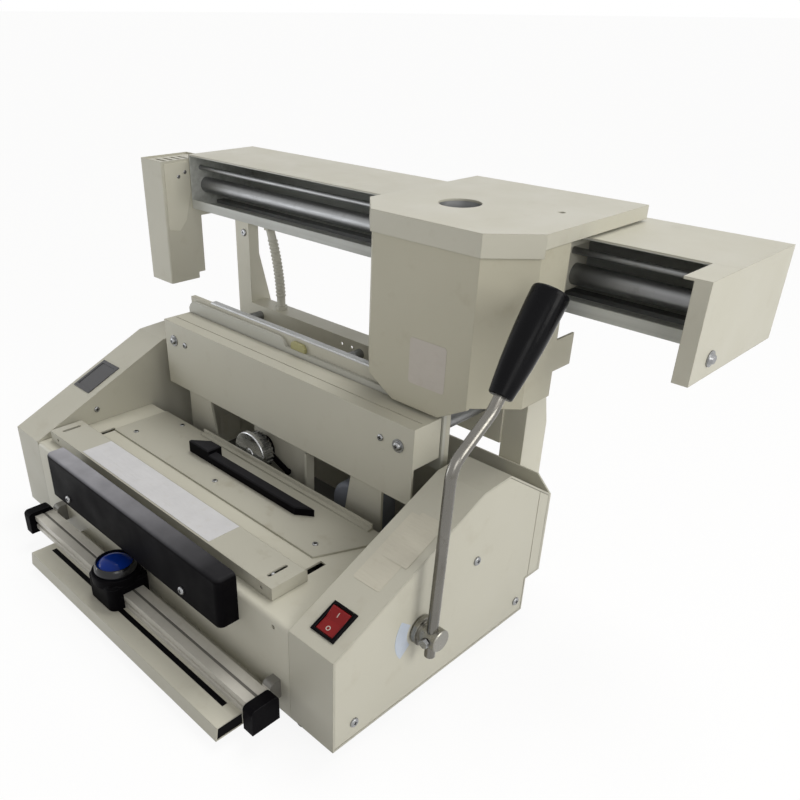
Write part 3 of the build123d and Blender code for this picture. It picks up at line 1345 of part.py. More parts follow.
def display_window():
    """The dark window in the left slope, framed and set into it."""
    wide, long = DISPLAY_SIZE
    frame = Pos(0, 0, 0.5) * Box(wide, long, 1)
    frame += Pos(0, 0, -3) * Box(wide - 2.4, long - 2.4, 6)
    frame -= Pos(0, 0, 1) * Box(wide - 7, long - 9, 1.4)
    return on_slope(DISPLAY_X, DISPLAY_Y) * frame


NODES = {
    "base_plate": base_plate(),
    "feet": feet(),
    "cabinet_left": screw_holes(left_cabinet()),
    "cabinet_right": screw_holes(right_cabinet()),
    "side_panels": side_panels(),
    "rear_casing": rear_casing(),
    "power_inlet": power_inlet(),
    "screws": screws(),
    "deck": screw_holes(deck()),
    "rear_table": rear_table(),
    "table_ledge": table_ledge(),
    "stop_bar": stop_bar(),
    "tray": tray(),
    "tray_sheet": tray_sheet(),
    "tray_brackets": tray_brackets(),
    "front_bar": front_bar(),
    "lever_shaft": lever_shaft(),
    "crank_arms": crank_arms(),
    "lever_hub": lever_hub(),
    "lever_bolt": lever_bolt(),
    "lever_rod": lever_rod(),
    "lever_grip": lever_grip(),
    "front_jaw": front_jaw(),
    "jaw_supports": jaw_supports(),
    "bushes": shaft_bushes() + screw_bearings(),
    "guide_rods": guide_rods(),
    "rod_bolts": rod_bolts(),
    "rear_jaw": rear_jaw(),
    "rear_jaw_facing": rear_jaw_facing(),
    "spine_strip": spine_strip(),
    "centre_block": centre_block(),
    "lead_screw": lead_screw(),
    "crank_wheel": crank_wheel(),
    "crank_handle": crank_handle(),
    "cover_housing": cover_housing(),
    "posts": [post(-1), post(1)],
    "rear_beam": rear_beam(),
    "gantry_channel": gantry_channel(),
    "end_cap": end_cap(),
    "rails": [main_rail()] + guide_bars(),
    "hanging_unit": [hanging_unit(), unit_top()],
    "conduit": conduit(),
    "conduit_glands": conduit_glands(),
    "carriage_lid": carriage_lid(),
    "carriage_body": carriage_body(),
    "filler_tube": filler_tube(),
    "glue_tank": glue_tank(),
    "glue_roller": glue_roller(),
    "carriage_bracket": carriage_bracket(),
    "heat_block": heat_block(),
    "drip_guard": drip_guard(),
    "creaser_base": creaser_base(),
    "creaser_rail": creaser_rail(),
    "creaser_caps": creaser_caps(),
    "slider_body": slider_body(),
    "crease_button": crease_button(),
    "crease_wheel": crease_wheel(),
    "switch_bezel": switch_bezel(),
    "switch_rocker": switch_rocker(),
    "display_window": display_window(),
}

os.makedirs("parts", exist_ok=True)
for name, shape in NODES.items():
    pieces = shape if isinstance(shape, list) else [shape]
    solids = [solid for piece in pieces for solid in piece.solids()]
    moved = [Pos(*CENTRE) * solid for solid in solids]
    export_step(moved[0] if len(moved) == 1 else Compound(children=moved), f"parts/{name}.step")
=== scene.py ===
"""Dresses the desktop perfect binding machine: its finishes, labels, trim and screw thread, and the stage."""
import json
import math

import bmesh
import bpy
from bpy.props import FloatProperty, FloatVectorProperty, IntProperty, PointerProperty
from mathutils import Matrix, Vector

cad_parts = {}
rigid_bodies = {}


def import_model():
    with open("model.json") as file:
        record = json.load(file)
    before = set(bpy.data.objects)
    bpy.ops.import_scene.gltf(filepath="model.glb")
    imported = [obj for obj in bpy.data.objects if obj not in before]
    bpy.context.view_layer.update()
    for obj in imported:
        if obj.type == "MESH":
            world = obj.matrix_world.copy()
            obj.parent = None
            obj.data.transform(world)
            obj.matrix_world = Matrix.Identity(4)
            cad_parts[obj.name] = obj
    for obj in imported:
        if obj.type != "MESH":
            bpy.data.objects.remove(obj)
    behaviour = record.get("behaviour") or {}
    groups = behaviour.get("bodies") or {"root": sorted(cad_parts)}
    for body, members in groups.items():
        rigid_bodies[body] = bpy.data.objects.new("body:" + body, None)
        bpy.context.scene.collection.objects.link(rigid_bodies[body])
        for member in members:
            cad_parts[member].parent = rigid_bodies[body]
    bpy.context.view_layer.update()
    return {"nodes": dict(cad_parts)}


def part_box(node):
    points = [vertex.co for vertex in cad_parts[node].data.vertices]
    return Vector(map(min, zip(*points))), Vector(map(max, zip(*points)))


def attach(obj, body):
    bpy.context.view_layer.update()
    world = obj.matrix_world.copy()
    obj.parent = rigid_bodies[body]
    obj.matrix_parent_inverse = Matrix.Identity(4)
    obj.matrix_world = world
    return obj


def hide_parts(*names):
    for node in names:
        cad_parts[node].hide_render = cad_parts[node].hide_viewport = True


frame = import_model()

bl_info = {
    "name": "Binding Machine Dressing",
    "version": (1, 0, 0),
    "blender": (4, 5, 0),
    "location": "3D View > Sidebar > Binder",
    "description": "Finishes, labels, trim and stage for a desktop perfect binding machine",
    "category": "Object",
}


def node_box(node):
    """The lowest and the highest corner of a CAD node's box."""
    return [Vector(corner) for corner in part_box(node)]


# The machine's own frame, and the sloping top of its cabinets in millimetres
DECK_LOW, DECK_HIGH = node_box("deck")
MIDDLE_X = (DECK_LOW.x + DECK_HIGH.x) / 2
FRONT_Y = DECK_LOW.y
SLOPE_FOOT, SLOPE_RUN, SLOPE_RISE = 105.5, 176.0, 77.5
SLOPE_ANGLE = math.atan2(SLOPE_RISE, SLOPE_RUN)
SLOPE_ALONG = Vector((0, math.cos(SLOPE_ANGLE), math.sin(SLOPE_ANGLE)))
SLOPE_NORMAL = Vector((0, -math.sin(SLOPE_ANGLE), math.cos(SLOPE_ANGLE)))
ACROSS = Vector((1, 0, 0))
# How far the rocker is tipped at rest in degrees, and the gap under a sheet or a mark in metres
ROCKER_TIP = 7
CLEARANCE = 0.00002


def place(x, y, z):
    """A point given in millimetres from the machine's middle plane, its front face and the desk."""
    return Vector((MIDDLE_X + x / 1000, FRONT_Y + y / 1000, z / 1000))


def on_slope(x, y, lift=0.0):
    """A point on the cabinets' sloping top, lifted off it by some millimetres."""
    return place(x, y, SLOPE_FOOT + y * math.tan(SLOPE_ANGLE)) + SLOPE_NORMAL * lift / 1000


# Sizes and colours that a user may change


def colour(name, description, value):
    return FloatVectorProperty(
        name=name, description=description, default=value, subtype="COLOR", size=3, min=0, max=1)


def length(name, description, value):
    return FloatProperty(name=name, description=description, default=value, unit="LENGTH", min=0)


class BinderColours(bpy.types.PropertyGroup):
    cream: colour("Cream paint", "Powder coat of the housing", (0.59, 0.575, 0.49))
    black: colour("Black plastic", "Front bar, stop bar and creaser slider", (0.0035, 0.0032, 0.004))
    blue: colour("Button blue", "Palm button of the creaser", (0.003, 0.03, 0.26))
    red: colour("Rocker red", "Rocker of the mains switch", (0.21, 0.008, 0.009))
    label: colour("Label sheet", "Blank sheet on the tray", (0.66, 0.66, 0.68))
    steel: colour("Bright steel", "Rails, rods and screws", (0.46, 0.465, 0.47))
    floor: colour("Floor", "Floor and background", (0.6, 0.6, 0.6))


class BinderSizes(bpy.types.PropertyGroup):
    recess_length: length("Recess length", "Across the cross recess of a screw", 0.0036)
    recess_width: length("Recess width", "Width of each slot of the recess", 0.0008)
    recess_depth: length("Recess depth", "Thickness of each slot of the recess", 0.0004)
    thread_pitch: length("Thread pitch", "Distance between the lead screw's ridges", 0.004)
    thread_depth: length("Thread depth", "Height of the lead screw's ridges", 0.0013)
    label_thickness: length("Label thickness", "Thickness of the blank sheets", 0.00025)
    lens: FloatProperty(name="Lens", description="Focal length on a 36 mm sensor", default=35.81, min=1)
    thread_steps: IntProperty(
        name="Thread steps", description="Steps of the thread in each turn", default=24, min=8)


# Building a finish


# Where a mix node has its two colours and its result
MIX_FIRST, MIX_SECOND, MIX_RESULT = 6, 7, 2


class Finish:
    """A material while it is made, with short ways to add the nodes that finishes share."""

    def __init__(self, name):
        self.material = bpy.data.materials.new(name)
        self.material.use_nodes = True
        self.tree = self.material.node_tree
        self.tree.nodes.clear()
        self.output = self.node("ShaderNodeOutputMaterial")
        self.shader = self.node("ShaderNodeBsdfPrincipled")
        self.join(self.shader.outputs["BSDF"], self.output.inputs["Surface"])
        self.coords = self.node("ShaderNodeTexCoord").outputs["Object"]

    def node(self, kind, **settings):
        made = self.tree.nodes.new(kind)
        for key, value in settings.items():
            setattr(made, key, value)
        return made

    def join(self, source, target):
        self.tree.links.new(source, target)

    def feed(self, socket, value):
        """Links a socket, or sets its plain colour or number."""
        if isinstance(value, bpy.types.NodeSocket):
            self.join(value, socket)
        elif isinstance(value, tuple):
            socket.default_value = (*value, 1.0)
        else:
            socket.default_value = value

    def axes(self, vector=None):
        """The three parts of a vector, or of the place on the piece."""
        made = self.node("ShaderNodeSeparateXYZ")
        self.join(vector or self.coords, made.inputs[0])
        return made.outputs

    def facing(self):
        """The way that the surface faces."""
        return self.node("ShaderNodeNewGeometry").outputs["Normal"]

    def stretched(self, scale, turn=(0, 0, 0)):
        """The place on the piece, turned and then scaled along each axis."""
        made = self.node("ShaderNodeMapping")
        made.inputs["Scale"].default_value = scale
        made.inputs["Rotation"].default_value = turn
        self.join(self.coords, made.inputs["Vector"])
        return made.outputs["Vector"]

    def noise(self, scale, detail=3.0, rough=0.5, vector=None):
        """Noise with so many cells to the metre."""
        made = self.node("ShaderNodeTexNoise")
        made.inputs["Scale"].default_value = scale
        made.inputs["Detail"].default_value = detail
        made.inputs["Roughness"].default_value = rough
        self.join(vector or self.coords, made.inputs["Vector"])
        return made.outputs["Fac"]

    def band(self, value, low, high, start=0.0, end=1.0):
        """Maps the values from low to high onto those from start to end."""
        made = self.node("ShaderNodeMapRange", clamp=True)
        self.feed(made.inputs["Value"], value)
        for socket, number in (("From Min", low), ("From Max", high), ("To Min", start), ("To Max", end)):
            made.inputs[socket].default_value = number
        return made.outputs["Result"]

    def spread(self, noise, least, most):
        """Maps the middle of a noise, where most of it lies, onto two levels and what lies between."""
        return self.band(noise, 0.3, 0.7, least, most)

    def combined(self, operation, first, second):
        """The result of one operation on two values."""
        made = self.node("ShaderNodeMath", operation=operation)
        self.feed(made.inputs[0], first)
        self.feed(made.inputs[1], second)
        return made.outputs["Value"]

    def blend(self, factor, first, second):
        """The first colour where the factor is 0 and the second where it is 1."""
        made = self.node("ShaderNodeMix", data_type="RGBA")
        self.feed(made.inputs["Factor"], factor)
        self.feed(made.inputs[MIX_FIRST], first)
        self.feed(made.inputs[MIX_SECOND], second)
        return made.outputs[MIX_RESULT]

    def rounded(self, radius):
        """A normal that softens sharp edges."""
        made = self.node("ShaderNodeBevel", samples=4)
        made.inputs["Radius"].default_value = radius
        return made.outputs["Normal"]

    def edges(self, radius):
        """About 1 along outer and inner edges and 0 on flat faces."""
        agreement = self.node("ShaderNodeVectorMath", operation="DOT_PRODUCT")
        self.join(self.rounded(radius), agreement.inputs[0])
        self.join(self.facing(), agreement.inputs[1])
        return self.band(agreement.outputs["Value"], 0.99, 0.8)

    def relief(self, height, distance, normal=None):
        """A normal that follows a height of so many metres."""
        made = self.node("ShaderNodeBump")
        made.inputs["Distance"].default_value = distance
        self.join(height, made.inputs["Height"])
        if normal is not None:
            self.join(normal, made.inputs["Normal"])
        return made.outputs["Normal"]

    def done(self, shade, roughness, normal=None, **constants):
        """Ends the finish; constants are set on the shader's own sockets."""
        self.feed(self.shader.inputs["Base Color"], shade)
        self.feed(self.shader.inputs["Roughness"], roughness)
        if normal is not None:
            self.join(normal, self.shader.inputs["Normal"])
        for socket, value in constants.items():
            self.shader.inputs[socket.replace("_", " ")].default_value = value
        return self.material


def scaled(tone, factor):
    """A tone made lighter or darker."""
    return tuple(min(1.0, channel * factor) for channel in tone)


def tinted(tone, tint):
    """A tone with each of its channels scaled by a tint's."""
    return tuple(min(1.0, channel * part) for channel, part in zip(tone, tint))


# How use tints a coat, a metal and a sheet
HANDLED, SCRATCHED, RUBBED = (0.66, 0.6, 0.5), (0.72, 0.7, 0.66), (0.72, 0.66, 0.56)
STAINED, SMUDGED = (0.45, 0.4, 0.34), (0.86, 0.83, 0.77)
# The gantry's bare primer, and the bluish tone of the painted sheen that stands in for a reflection on the
# bars' tops
PRIMER_DARK, PRIMER_PALE, PRIMER_STREAK = (0.55, 0.565, 0.54), (0.72, 0.74, 0.71), (0.42, 0.43, 0.4)
PAINTED_SHEEN_TONE = (0.46, 0.46, 0.5)
# How far the edges of coats and mouldings are softened
EDGE_RADIUS = 0.0009


def powder_coat(name, tone, roughness=0.38, wear=0.5):
    """Sprayed powder coat: faint orange peel, uneven tone, handling marks and rubbed edges."""
    paint = Finish(name)
    shade = paint.blend(paint.noise(7, 3), scaled(tone, 0.93), scaled(tone, 1.05))
    handled = paint.band(paint.noise(38, 6, 0.62), 0.58, 0.74, 0.0, 0.32 * wear)
    shade = paint.blend(handled, shade, tinted(tone, HANDLED))
    drag = paint.noise(1, 4, 0.6, paint.stretched((60, 900, 420), (0.3, 0.5, 0.9)))
    scratched = paint.band(drag, 0.70, 0.76, 0.0, 0.5 * wear)
    shade = paint.blend(scratched, shade, tinted(tone, SCRATCHED))
    patches = paint.band(paint.noise(160, 4), 0.42, 0.7, 0.1, 0.8)
    rubbed = paint.combined("MULTIPLY", paint.edges(0.0012), patches)
    shade = paint.blend(paint.combined("MULTIPLY", rubbed, 0.55), shade, tinted(tone, RUBBED))
    return sprayed(paint, shade, roughness - 0.06, roughness + 0.1)


def sprayed(paint, shade, least, most):
    """Ends a coat with its orange peel, and a roughness that varies between two levels."""
    peel = paint.relief(paint.noise(620, 2, 0.4), 0.00005, paint.rounded(EDGE_RADIUS))
    return paint.done(shade, paint.spread(paint.noise(24, 4), least, most), peel, Specular_IOR_Level=0.28)


def gantry_coat(name, tone, skin=0.0008):
    """The channel's coat: cream outside, and dull grey primer left bare on its lining and front lip."""
    low, high = node_box("gantry_channel")
    paint = Finish(name)
    x, y, z = paint.axes()
    top = paint.band(z, high.z - 2 * skin, high.z - skin)
    rear = paint.band(y, high.y - 2 * skin, high.y - skin)
    left = paint.band(x, low.x + 2 * skin, low.x + skin)
    outer = paint.combined("MAXIMUM", paint.combined("MAXIMUM", top, rear), left)
    primer = paint.blend(paint.noise(9, 4), PRIMER_DARK, PRIMER_PALE)
    streaks = paint.noise(1, 3, 0.5, paint.stretched((5, 160, 160)))
    primer = paint.blend(paint.band(streaks, 0.35, 0.65, 0.0, 0.5), primer, PRIMER_STREAK)
    cream = paint.blend(paint.noise(7, 3), scaled(tone, 0.93), scaled(tone, 1.03))
    marks = paint.band(paint.noise(38, 6, 0.62), 0.6, 0.76, 0.0, 0.25)
    cream = paint.blend(marks, cream, tinted(tone, (0.7, 0.66, 0.58)))
    return sprayed(paint, paint.blend(outer, primer, cream), 0.34, 0.5)


def moulded(name, tone, roughness=0.45, grain=0.00009, rubbed=(0.05, 0.05, 0.054), shine=0.02, painted_sheen=None):
    """Moulded parts: fine spark texture, dust, scuffs and greyed edges, and a painted sheen standing in for a
    reflection on a bar's top.
    """
    plastic = Finish(name)
    dusty = plastic.band(plastic.noise(44, 6, 0.6), 0.5, 0.75, 0.0, 0.35)
    shade = plastic.blend(dusty, tone, tuple(channel + 0.006 for channel in tone))
    if painted_sheen is not None:
        # Painted reflection: a bluish sheen on the bar's upward faces, fading from one end to the other
        shade = plastic.blend(painted_top_sheen(plastic, *painted_sheen), shade, PAINTED_SHEEN_TONE)
    patches = plastic.band(plastic.noise(210, 4), 0.35, 0.7, 0.15, 0.7)
    shade = plastic.blend(plastic.combined("MULTIPLY", plastic.edges(0.0014), patches), shade, rubbed)
    scuffs = plastic.noise(1, 4, 0.6, plastic.stretched((90, 1100, 700), (0.2, 0.4, 1.3)))
    shade = plastic.blend(plastic.band(scuffs, 0.7, 0.77, 0.0, 0.3), shade, rubbed)
    normal = plastic.relief(plastic.noise(1400, 2), grain, plastic.rounded(EDGE_RADIUS))
    gloss = plastic.spread(plastic.noise(30, 4), roughness - 0.08, roughness + 0.12)
    return plastic.done(shade, gloss, normal, Specular_IOR_Level=shine)


def painted_top_sheen(plastic, left, right, most, least):
    """How strong the painted sheen, standing in for a reflection, is on a bar's upper face, from its left end
    to its right end in the machine's millimetres.
    """
    along = plastic.band(plastic.axes()["X"], place(left, 0, 0).x, place(right, 0, 0).x, most, least)
    patchy = plastic.spread(plastic.noise(30, 4), 0.8, 1.15)
    upward = plastic.band(plastic.axes(plastic.facing())["Z"], 0.35, 0.95)
    return plastic.combined("MULTIPLY", plastic.combined("MULTIPLY", along, patchy), upward)


def bar_with_painted_sheen(name, tone, roughness, *painted_sheen):
    """A moulded bar with a painted sheen, standing in for a reflection, on its top."""
    return moulded(name, tone, roughness, painted_sheen=painted_sheen)


def metal(name, tone, roughness=0.25, brush=(900, 30, 900), depth=0.00003, stain=0.3, painted_shade_from=None,
          metallic=1.0):
    """Ground or brushed metal: fine lines one way, uneven polish, dull stains, and painted shade on the parts
    behind a given depth.
    """
    bright = Finish(name)
    lines = bright.noise(1, 3, 0.6, bright.stretched(brush))
    shade = bright.blend(bright.noise(26, 5, 0.6), scaled(tone, 0.8), scaled(tone, 1.12))
    stained = bright.band(bright.noise(95, 5, 0.65), 0.56, 0.72, 0.0, stain)
    shade = bright.blend(stained, shade, tinted(tone, STAINED))
    # Painted shade: parts behind the given depth are darkened, standing in for the shade in the gap behind a
    # rail
    if painted_shade_from is not None:
        step = FRONT_Y + painted_shade_from
        behind = bright.band(bright.axes()["Y"], step - 0.0001, step + 0.0001)
        shade = bright.blend(behind, shade, scaled(tone, 0.32))
    polish = bright.spread(lines, roughness - 0.07, roughness + 0.09)
    gloss = bright.combined("ADD", polish, bright.band(stained, 0, 1, 0, 0.3))
    normal = bright.relief(lines, depth, bright.rounded(0.0005))
    return bright.done(shade, gloss, normal, Metallic=metallic)


def sheet_stock(name, tone, cloud=0.08):
    """Blank label stock under a clear film: cloudy tone, smudges and faint creases."""
    stock = Finish(name)
    clouds = stock.noise(42, 4, 0.55)
    shade = stock.blend(clouds, scaled(tone, 1 - 2 * cloud), scaled(tone, 1 + cloud))
    smudge = stock.band(stock.noise(120, 6, 0.6), 0.56, 0.75, 0.0, 0.4)
    shade = stock.blend(smudge, shade, tinted(tone, SMUDGED))
    crease = stock.noise(1, 3, 0.5, stock.stretched((35, 240, 240), (0, 0, 0.6)))
    normal = stock.relief(crease, 0.0004)
    return stock.done(shade, stock.spread(clouds, 0.3, 0.48), normal, Specular_IOR_Level=0.3)


def recipes():
    """How each finish is made: its maker, and the maker's values in their order."""
    colours = bpy.context.scene.binder_colours
    cream, black, steel = tuple(colours.cream), tuple(colours.black), tuple(colours.steel)
    return {
        # Coats: tone, roughness and wear
        "cream coat": (powder_coat, cream),
        "cream coat worn": (powder_coat, scaled(cream, 0.96), 0.42, 1.0),
        # Painted shade: a darker, yellower copy of the cream for the carriage, whose front lies in shade
        "carriage coat": (powder_coat, tinted(cream, (0.9, 0.885, 0.83)), 0.42, 0.7),
        "pale coat": (powder_coat, scaled(cream, 1.17), 0.34, 0.4),
        "cabinet coat": (powder_coat, scaled(cream, 0.87), 0.4, 0.6),
        # Painted shade: a darker copy of the cream, standing in for the gantry's shadow on the table, ledge
        # and tray
        "table coat": (powder_coat, scaled(cream, 0.8), 0.44, 1.2),
        "grey hood coat": (powder_coat, (0.2, 0.215, 0.25), 0.5, 0.7),
        "floor plate coat": (powder_coat, (0.09, 0.09, 0.085), 0.5, 0.9),
        "gantry coat": (gantry_coat, cream),
        # Bars: tone and roughness, then the painted sheen's left end, right end, most and least
        "black front bar": (bar_with_painted_sheen, black, 0.42, -152, 130, 0.95, 0.05),
        "black stop bar": (bar_with_painted_sheen, black, 0.5, -79, 113, 0.05, 0.03),
        # Mouldings: tone, roughness, depth of the grain, tone of rubbed edges and shine
        "black moulding": (moulded, black),
        "black gloss grip": (moulded, (0.005, 0.005, 0.006), 0.2, 0.00002, (0.03, 0.03, 0.03), 0.08),
        "gloss ring": (moulded, (0.006, 0.006, 0.008), 0.14, 0.00001, (0.03, 0.03, 0.03), 0.4),
        "grip plug": (moulded, (0.03, 0.024, 0.023), 0.45, 0.00004, (0.07, 0.06, 0.06), 0.2),
        "foot rubber": (moulded, (0.01, 0.01, 0.01), 0.7, 0.0002, (0.03, 0.03, 0.03)),
        "red rocker": (moulded, tuple(colours.red), 0.26, 0.00003, (0.4, 0.06, 0.06), 0.2),
        "blue button": (moulded, tuple(colours.blue), 0.1, 0.00001, (0.01, 0.05, 0.25), 0.12),
        "display glass": (moulded, (0.085, 0.085, 0.09), 0.2, 0.00002, (0.01, 0.01, 0.01), 0.2),
        "white nylon": (moulded, (0.54, 0.54, 0.49), 0.4, 0.00004, (0.45, 0.43, 0.37), 0.3),
        "olive nylon": (moulded, (0.42, 0.4, 0.2), 0.4, 0.00004, (0.5, 0.48, 0.3), 0.3),
        "conduit nylon": (moulded, (0.62, 0.61, 0.54), 0.4, 0.00004, (0.5, 0.48, 0.4), 0.2),
        "tan board": (moulded, (0.42, 0.28, 0.15), 0.8, 0.0003, (0.55, 0.4, 0.25)),
        # Painted shade: a dark grey strip that fills the rail's groove and stands in for the shade in it
        "rail insert": (moulded, (0.16, 0.155, 0.14), 0.5, 0.00003, (0.3, 0.29, 0.27), 0.3),
        # Metals: tone, roughness, lines to the metre, their depth, stain, start of the part darkened by
        # painted shade and metallic
        "ground rod": (metal, scaled(steel, 0.62), 0.44, (30, 700, 700), 0.00001, 0.2),
        "turned steel": (metal, scaled(steel, 0.95), 0.26, (40, 900, 900)),
        "zinc screw": (metal, scaled(steel, 0.7), 0.3, (500, 500, 500), 0.00002, 0.5),
        "lever steel": (metal, (0.19, 0.182, 0.165), 0.24, (500, 500, 50), 0.00001, 0.3),
        "hub steel": (metal, (0.3, 0.29, 0.26), 0.3, (500, 500, 50), 0.00002, 0.4),
        "brushed sheet": (metal, scaled(steel, 1.1), 0.4, (20, 900, 900), 0.00002),
        # Painted shade: the rail's brackets, in the gap between the rail and the front panel, are darkened
        "anodised rail": (metal, (0.62, 0.6, 0.545), 0.5, (10, 700, 700), 0.00001, 0.15, -0.0118, 0.3),
        "cast aluminium": (metal, (0.4, 0.4, 0.4), 0.5, (300, 300, 300), 0.0002, 0.6),
        "turned brass": (metal, (0.6, 0.43, 0.18), 0.3, (900, 900, 900)),
        # Sheets: tone and how far its clouds go
        "blank label": (sheet_stock, tuple(colours.label)),
        "white label": (sheet_stock, (0.57, 0.53, 0.48), 0.04),
        "faded label": (sheet_stock, (0.56, 0.535, 0.45), 0.05),
        "scale sheet": (sheet_stock, (0.56, 0.62, 0.72), 0.05),
    }


MADE = {}


def finish_named(name):
    """A finish, made when it is first asked for."""
    if name not in MADE:
        maker, *values = recipes()[name]
        MADE[name] = maker(name, *values)
    return MADE[name]


def dress(finish, *nodes):
    """Gives CAD nodes a finish."""
    for node in nodes:
        solid = frame["nodes"][node]
        if not solid.material_slots:
            solid.data.materials.append(None)
        for slot in solid.material_slots:
            slot.material = finish_named(finish)


# Building pieces


def piece_from(name, builder, finish, body):
    """Adds a piece from a bmesh, with its place in its mesh, and lets it ride on a body."""
    mesh = bpy.data.meshes.new(name)
    builder.to_mesh(mesh)
    builder.free()
    return settle(bpy.data.objects.new(name, mesh), finish, body)


def settle(piece, finish, body):
    objects = bpy.context.scene.collection.objects
    if piece.name not in objects:
        objects.link(piece)
    piece.data.materials.clear()
    piece.data.materials.append(finish_named(finish))
    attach(piece, body)
    return piece


def soften(builder, edges, width):
    """Rounds some edges."""
    bmesh.ops.bevel(builder, geom=list(edges), offset=width, segments=2, affect="EDGES", profile=0.5)


def plate(builder, corners, normal, thickness, bevel=0.0):
    """A thin plate on a flat outline: corners in order, with its thickness along the normal."""
    normal = Vector(normal).normalized()
    low = [builder.verts.new(corner) for corner in corners]
    high = [builder.verts.new(Vector(corner) + normal * thickness) for corner in corners]
    turn = (Vector(corners[1]) - Vector(corners[0])).cross(Vector(corners[2]) - Vector(corners[1]))
    if turn.dot(normal) < 0:
        low.reverse()
        high.reverse()
    top = builder.faces.new(high)
    builder.faces.new(list(reversed(low)))
    for i in range(len(low)):
        j = (i + 1) % len(low)
        builder.faces.new((low[i], low[j], high[j], high[i]))
    if bevel:
        soften(builder, top.edges, bevel)


def rounded_outline(centre, along, width, height, radius, steps=5):
    """Corners of a rounded rectangle, its width across the machine and its height along a direction."""
    points = []
    for sx, sy, start in ((1, 1, 0), (-1, 1, 90), (-1, -1, 180), (1, -1, 270)):
        for step in range(steps + 1):
            angle = math.radians(start + 90 * step / steps)
            x = sx * (width / 2 - radius) + radius * math.cos(angle)
            y = sy * (height / 2 - radius) + radius * math.sin(angle)
            points.append(centre + ACROSS * x + Vector(along) * y)
    return points


def boxed(builder, x, y, z, bevel):
    """A block between limits in the machine's millimetres, with softened edges."""
    made = bmesh.ops.create_cube(builder, size=1)["verts"]
    low, high = place(x[0], y[0], z[0]), place(x[1], y[1], z[1])
    for vert in made:
        for axis in range(3):
            vert.co[axis] = low[axis] if vert.co[axis] < 0 else high[axis]
    soften(builder, {edge for vert in made for edge in vert.link_edges}, bevel)


def turned(builder, profile, steps=64, seat=Matrix(), hollow=False):
    """A shape turned about z from pairs of radius and height, then placed by a matrix.

    A solid profile starts and ends on the axis, and a hollow one closes on itself.
    """
    rows = []
    for radius, height in profile:
        angles = [2 * math.pi * step / steps for step in range(steps if radius else 1)]
        points = [Vector((radius * math.cos(angle), radius * math.sin(angle), height)) for angle in angles]
        rows.append([builder.verts.new(seat @ point) for point in points])
    if hollow:
        rows.append(rows[0])
    for low, high in zip(rows, rows[1:]):
        for i in range(steps):
            j = (i + 1) % steps
            corners = (low[i % len(low)], low[j % len(low)], high[j % len(high)], high[i % len(high)])
            builder.faces.new(list(dict.fromkeys(corners)))
    bmesh.ops.recalc_face_normals(builder, faces=builder.faces)


def screw_head(builder, spot, radius, turn=Matrix()):
    """A low screw head with a chamfered rim, facing up unless it is turned."""
    profile = ((0, -0.0004), (radius, -0.0004), (radius, 0.0004), (radius * 0.7, 0.0008), (0, 0.001))
    turned(builder, profile, 24, Matrix.Translation(spot) @ turn)


def nodes_result(name, base_mesh, tree, inputs):
    """Evaluates a geometry tree on a mesh and returns the result as a plain mesh object."""
    carrier = bpy.data.objects.new(name, base_mesh)
    bpy.context.scene.collection.objects.link(carrier)
    modifier = carrier.modifiers.new("build", "NODES")
    modifier.node_group = tree
    for item in tree.interface.items_tree:
        if item.item_type == "SOCKET" and item.in_out == "INPUT" and item.name in inputs:
            modifier[item.identifier] = inputs[item.name]
    depsgraph = bpy.context.evaluated_depsgraph_get()
    result = bpy.data.meshes.new_from_object(carrier.evaluated_get(depsgraph))
    carrier.modifiers.clear()
    carrier.data = result
    result.name = name
    return carrier


def new_tree(name, floats):
    """A geometry tree with named float inputs, its group input and its group output."""
    tree = bpy.data.node_groups.new(name, "GeometryNodeTree")
    tree.interface.new_socket("Geometry", in_out="INPUT", socket_type="NodeSocketGeometry")
    for label, value in floats.items():
        socket = tree.interface.new_socket(label, in_out="INPUT", socket_type="NodeSocketFloat")
        socket.default_value = value
    tree.interface.new_socket("Geometry", in_out="OUTPUT", socket_type="NodeSocketGeometry")
    return tree, tree.nodes.new("NodeGroupInput"), tree.nodes.new("NodeGroupOutput")


def finish_tree(tree, geometry, output, finish):
    """Ends a tree in Realize Instances and Set Material."""
    real = tree.nodes.new("GeometryNodeRealizeInstances")
    paint = tree.nodes.new("GeometryNodeSetMaterial")
    paint.inputs["Material"].default_value = finish_named(finish)
    tree.links.new(geometry, real.inputs[0])
    tree.links.new(real.outputs[0], paint.inputs["Geometry"])
    tree.links.new(paint.outputs["Geometry"], output.inputs["Geometry"])


def recess_tree(floats):
    """Puts a cross recess at each point as two black slots, painted shade standing in for the dark inside of
    the recess, turned the way its screw points.
    """
    tree, given, output = new_tree("screw recesses", floats)
    link = tree.links.new
    joined = tree.nodes.new("GeometryNodeJoinGeometry")
    for first, second in (("Length", "Width"), ("Width", "Length")):
        size = tree.nodes.new("ShaderNodeCombineXYZ")
        link(given.outputs[first], size.inputs["X"])
        link(given.outputs[second], size.inputs["Y"])
        link(given.outputs["Depth"], size.inputs["Z"])
        slot = tree.nodes.new("GeometryNodeMeshCube")
        link(size.outputs[0], slot.inputs["Size"])
        link(slot.outputs["Mesh"], joined.inputs[0])
    way = tree.nodes.new("GeometryNodeInputNamedAttribute")
    way.data_type = "FLOAT_VECTOR"
    way.inputs["Name"].default_value = "way"
    aimed = tree.nodes.new("FunctionNodeAlignRotationToVector")
    aimed.axis = "Z"
    link(way.outputs["Attribute"], aimed.inputs["Vector"])
    placed = tree.nodes.new("GeometryNodeInstanceOnPoints")
    link(given.outputs["Geometry"], placed.inputs["Points"])
    link(joined.outputs[0], placed.inputs["Instance"])
    link(aimed.outputs[0], placed.inputs["Rotation"])
    # Painted shade: the slots are black, standing in for the shade inside a recess
    finish_tree(tree, placed.outputs["Instances"], output, "black moulding")
    return tree


# How wide the thread's ridge is at its foot and at its top, as shares of the pitch
RIDGE_FOOT, RIDGE_TOP = 0.62, 0.3


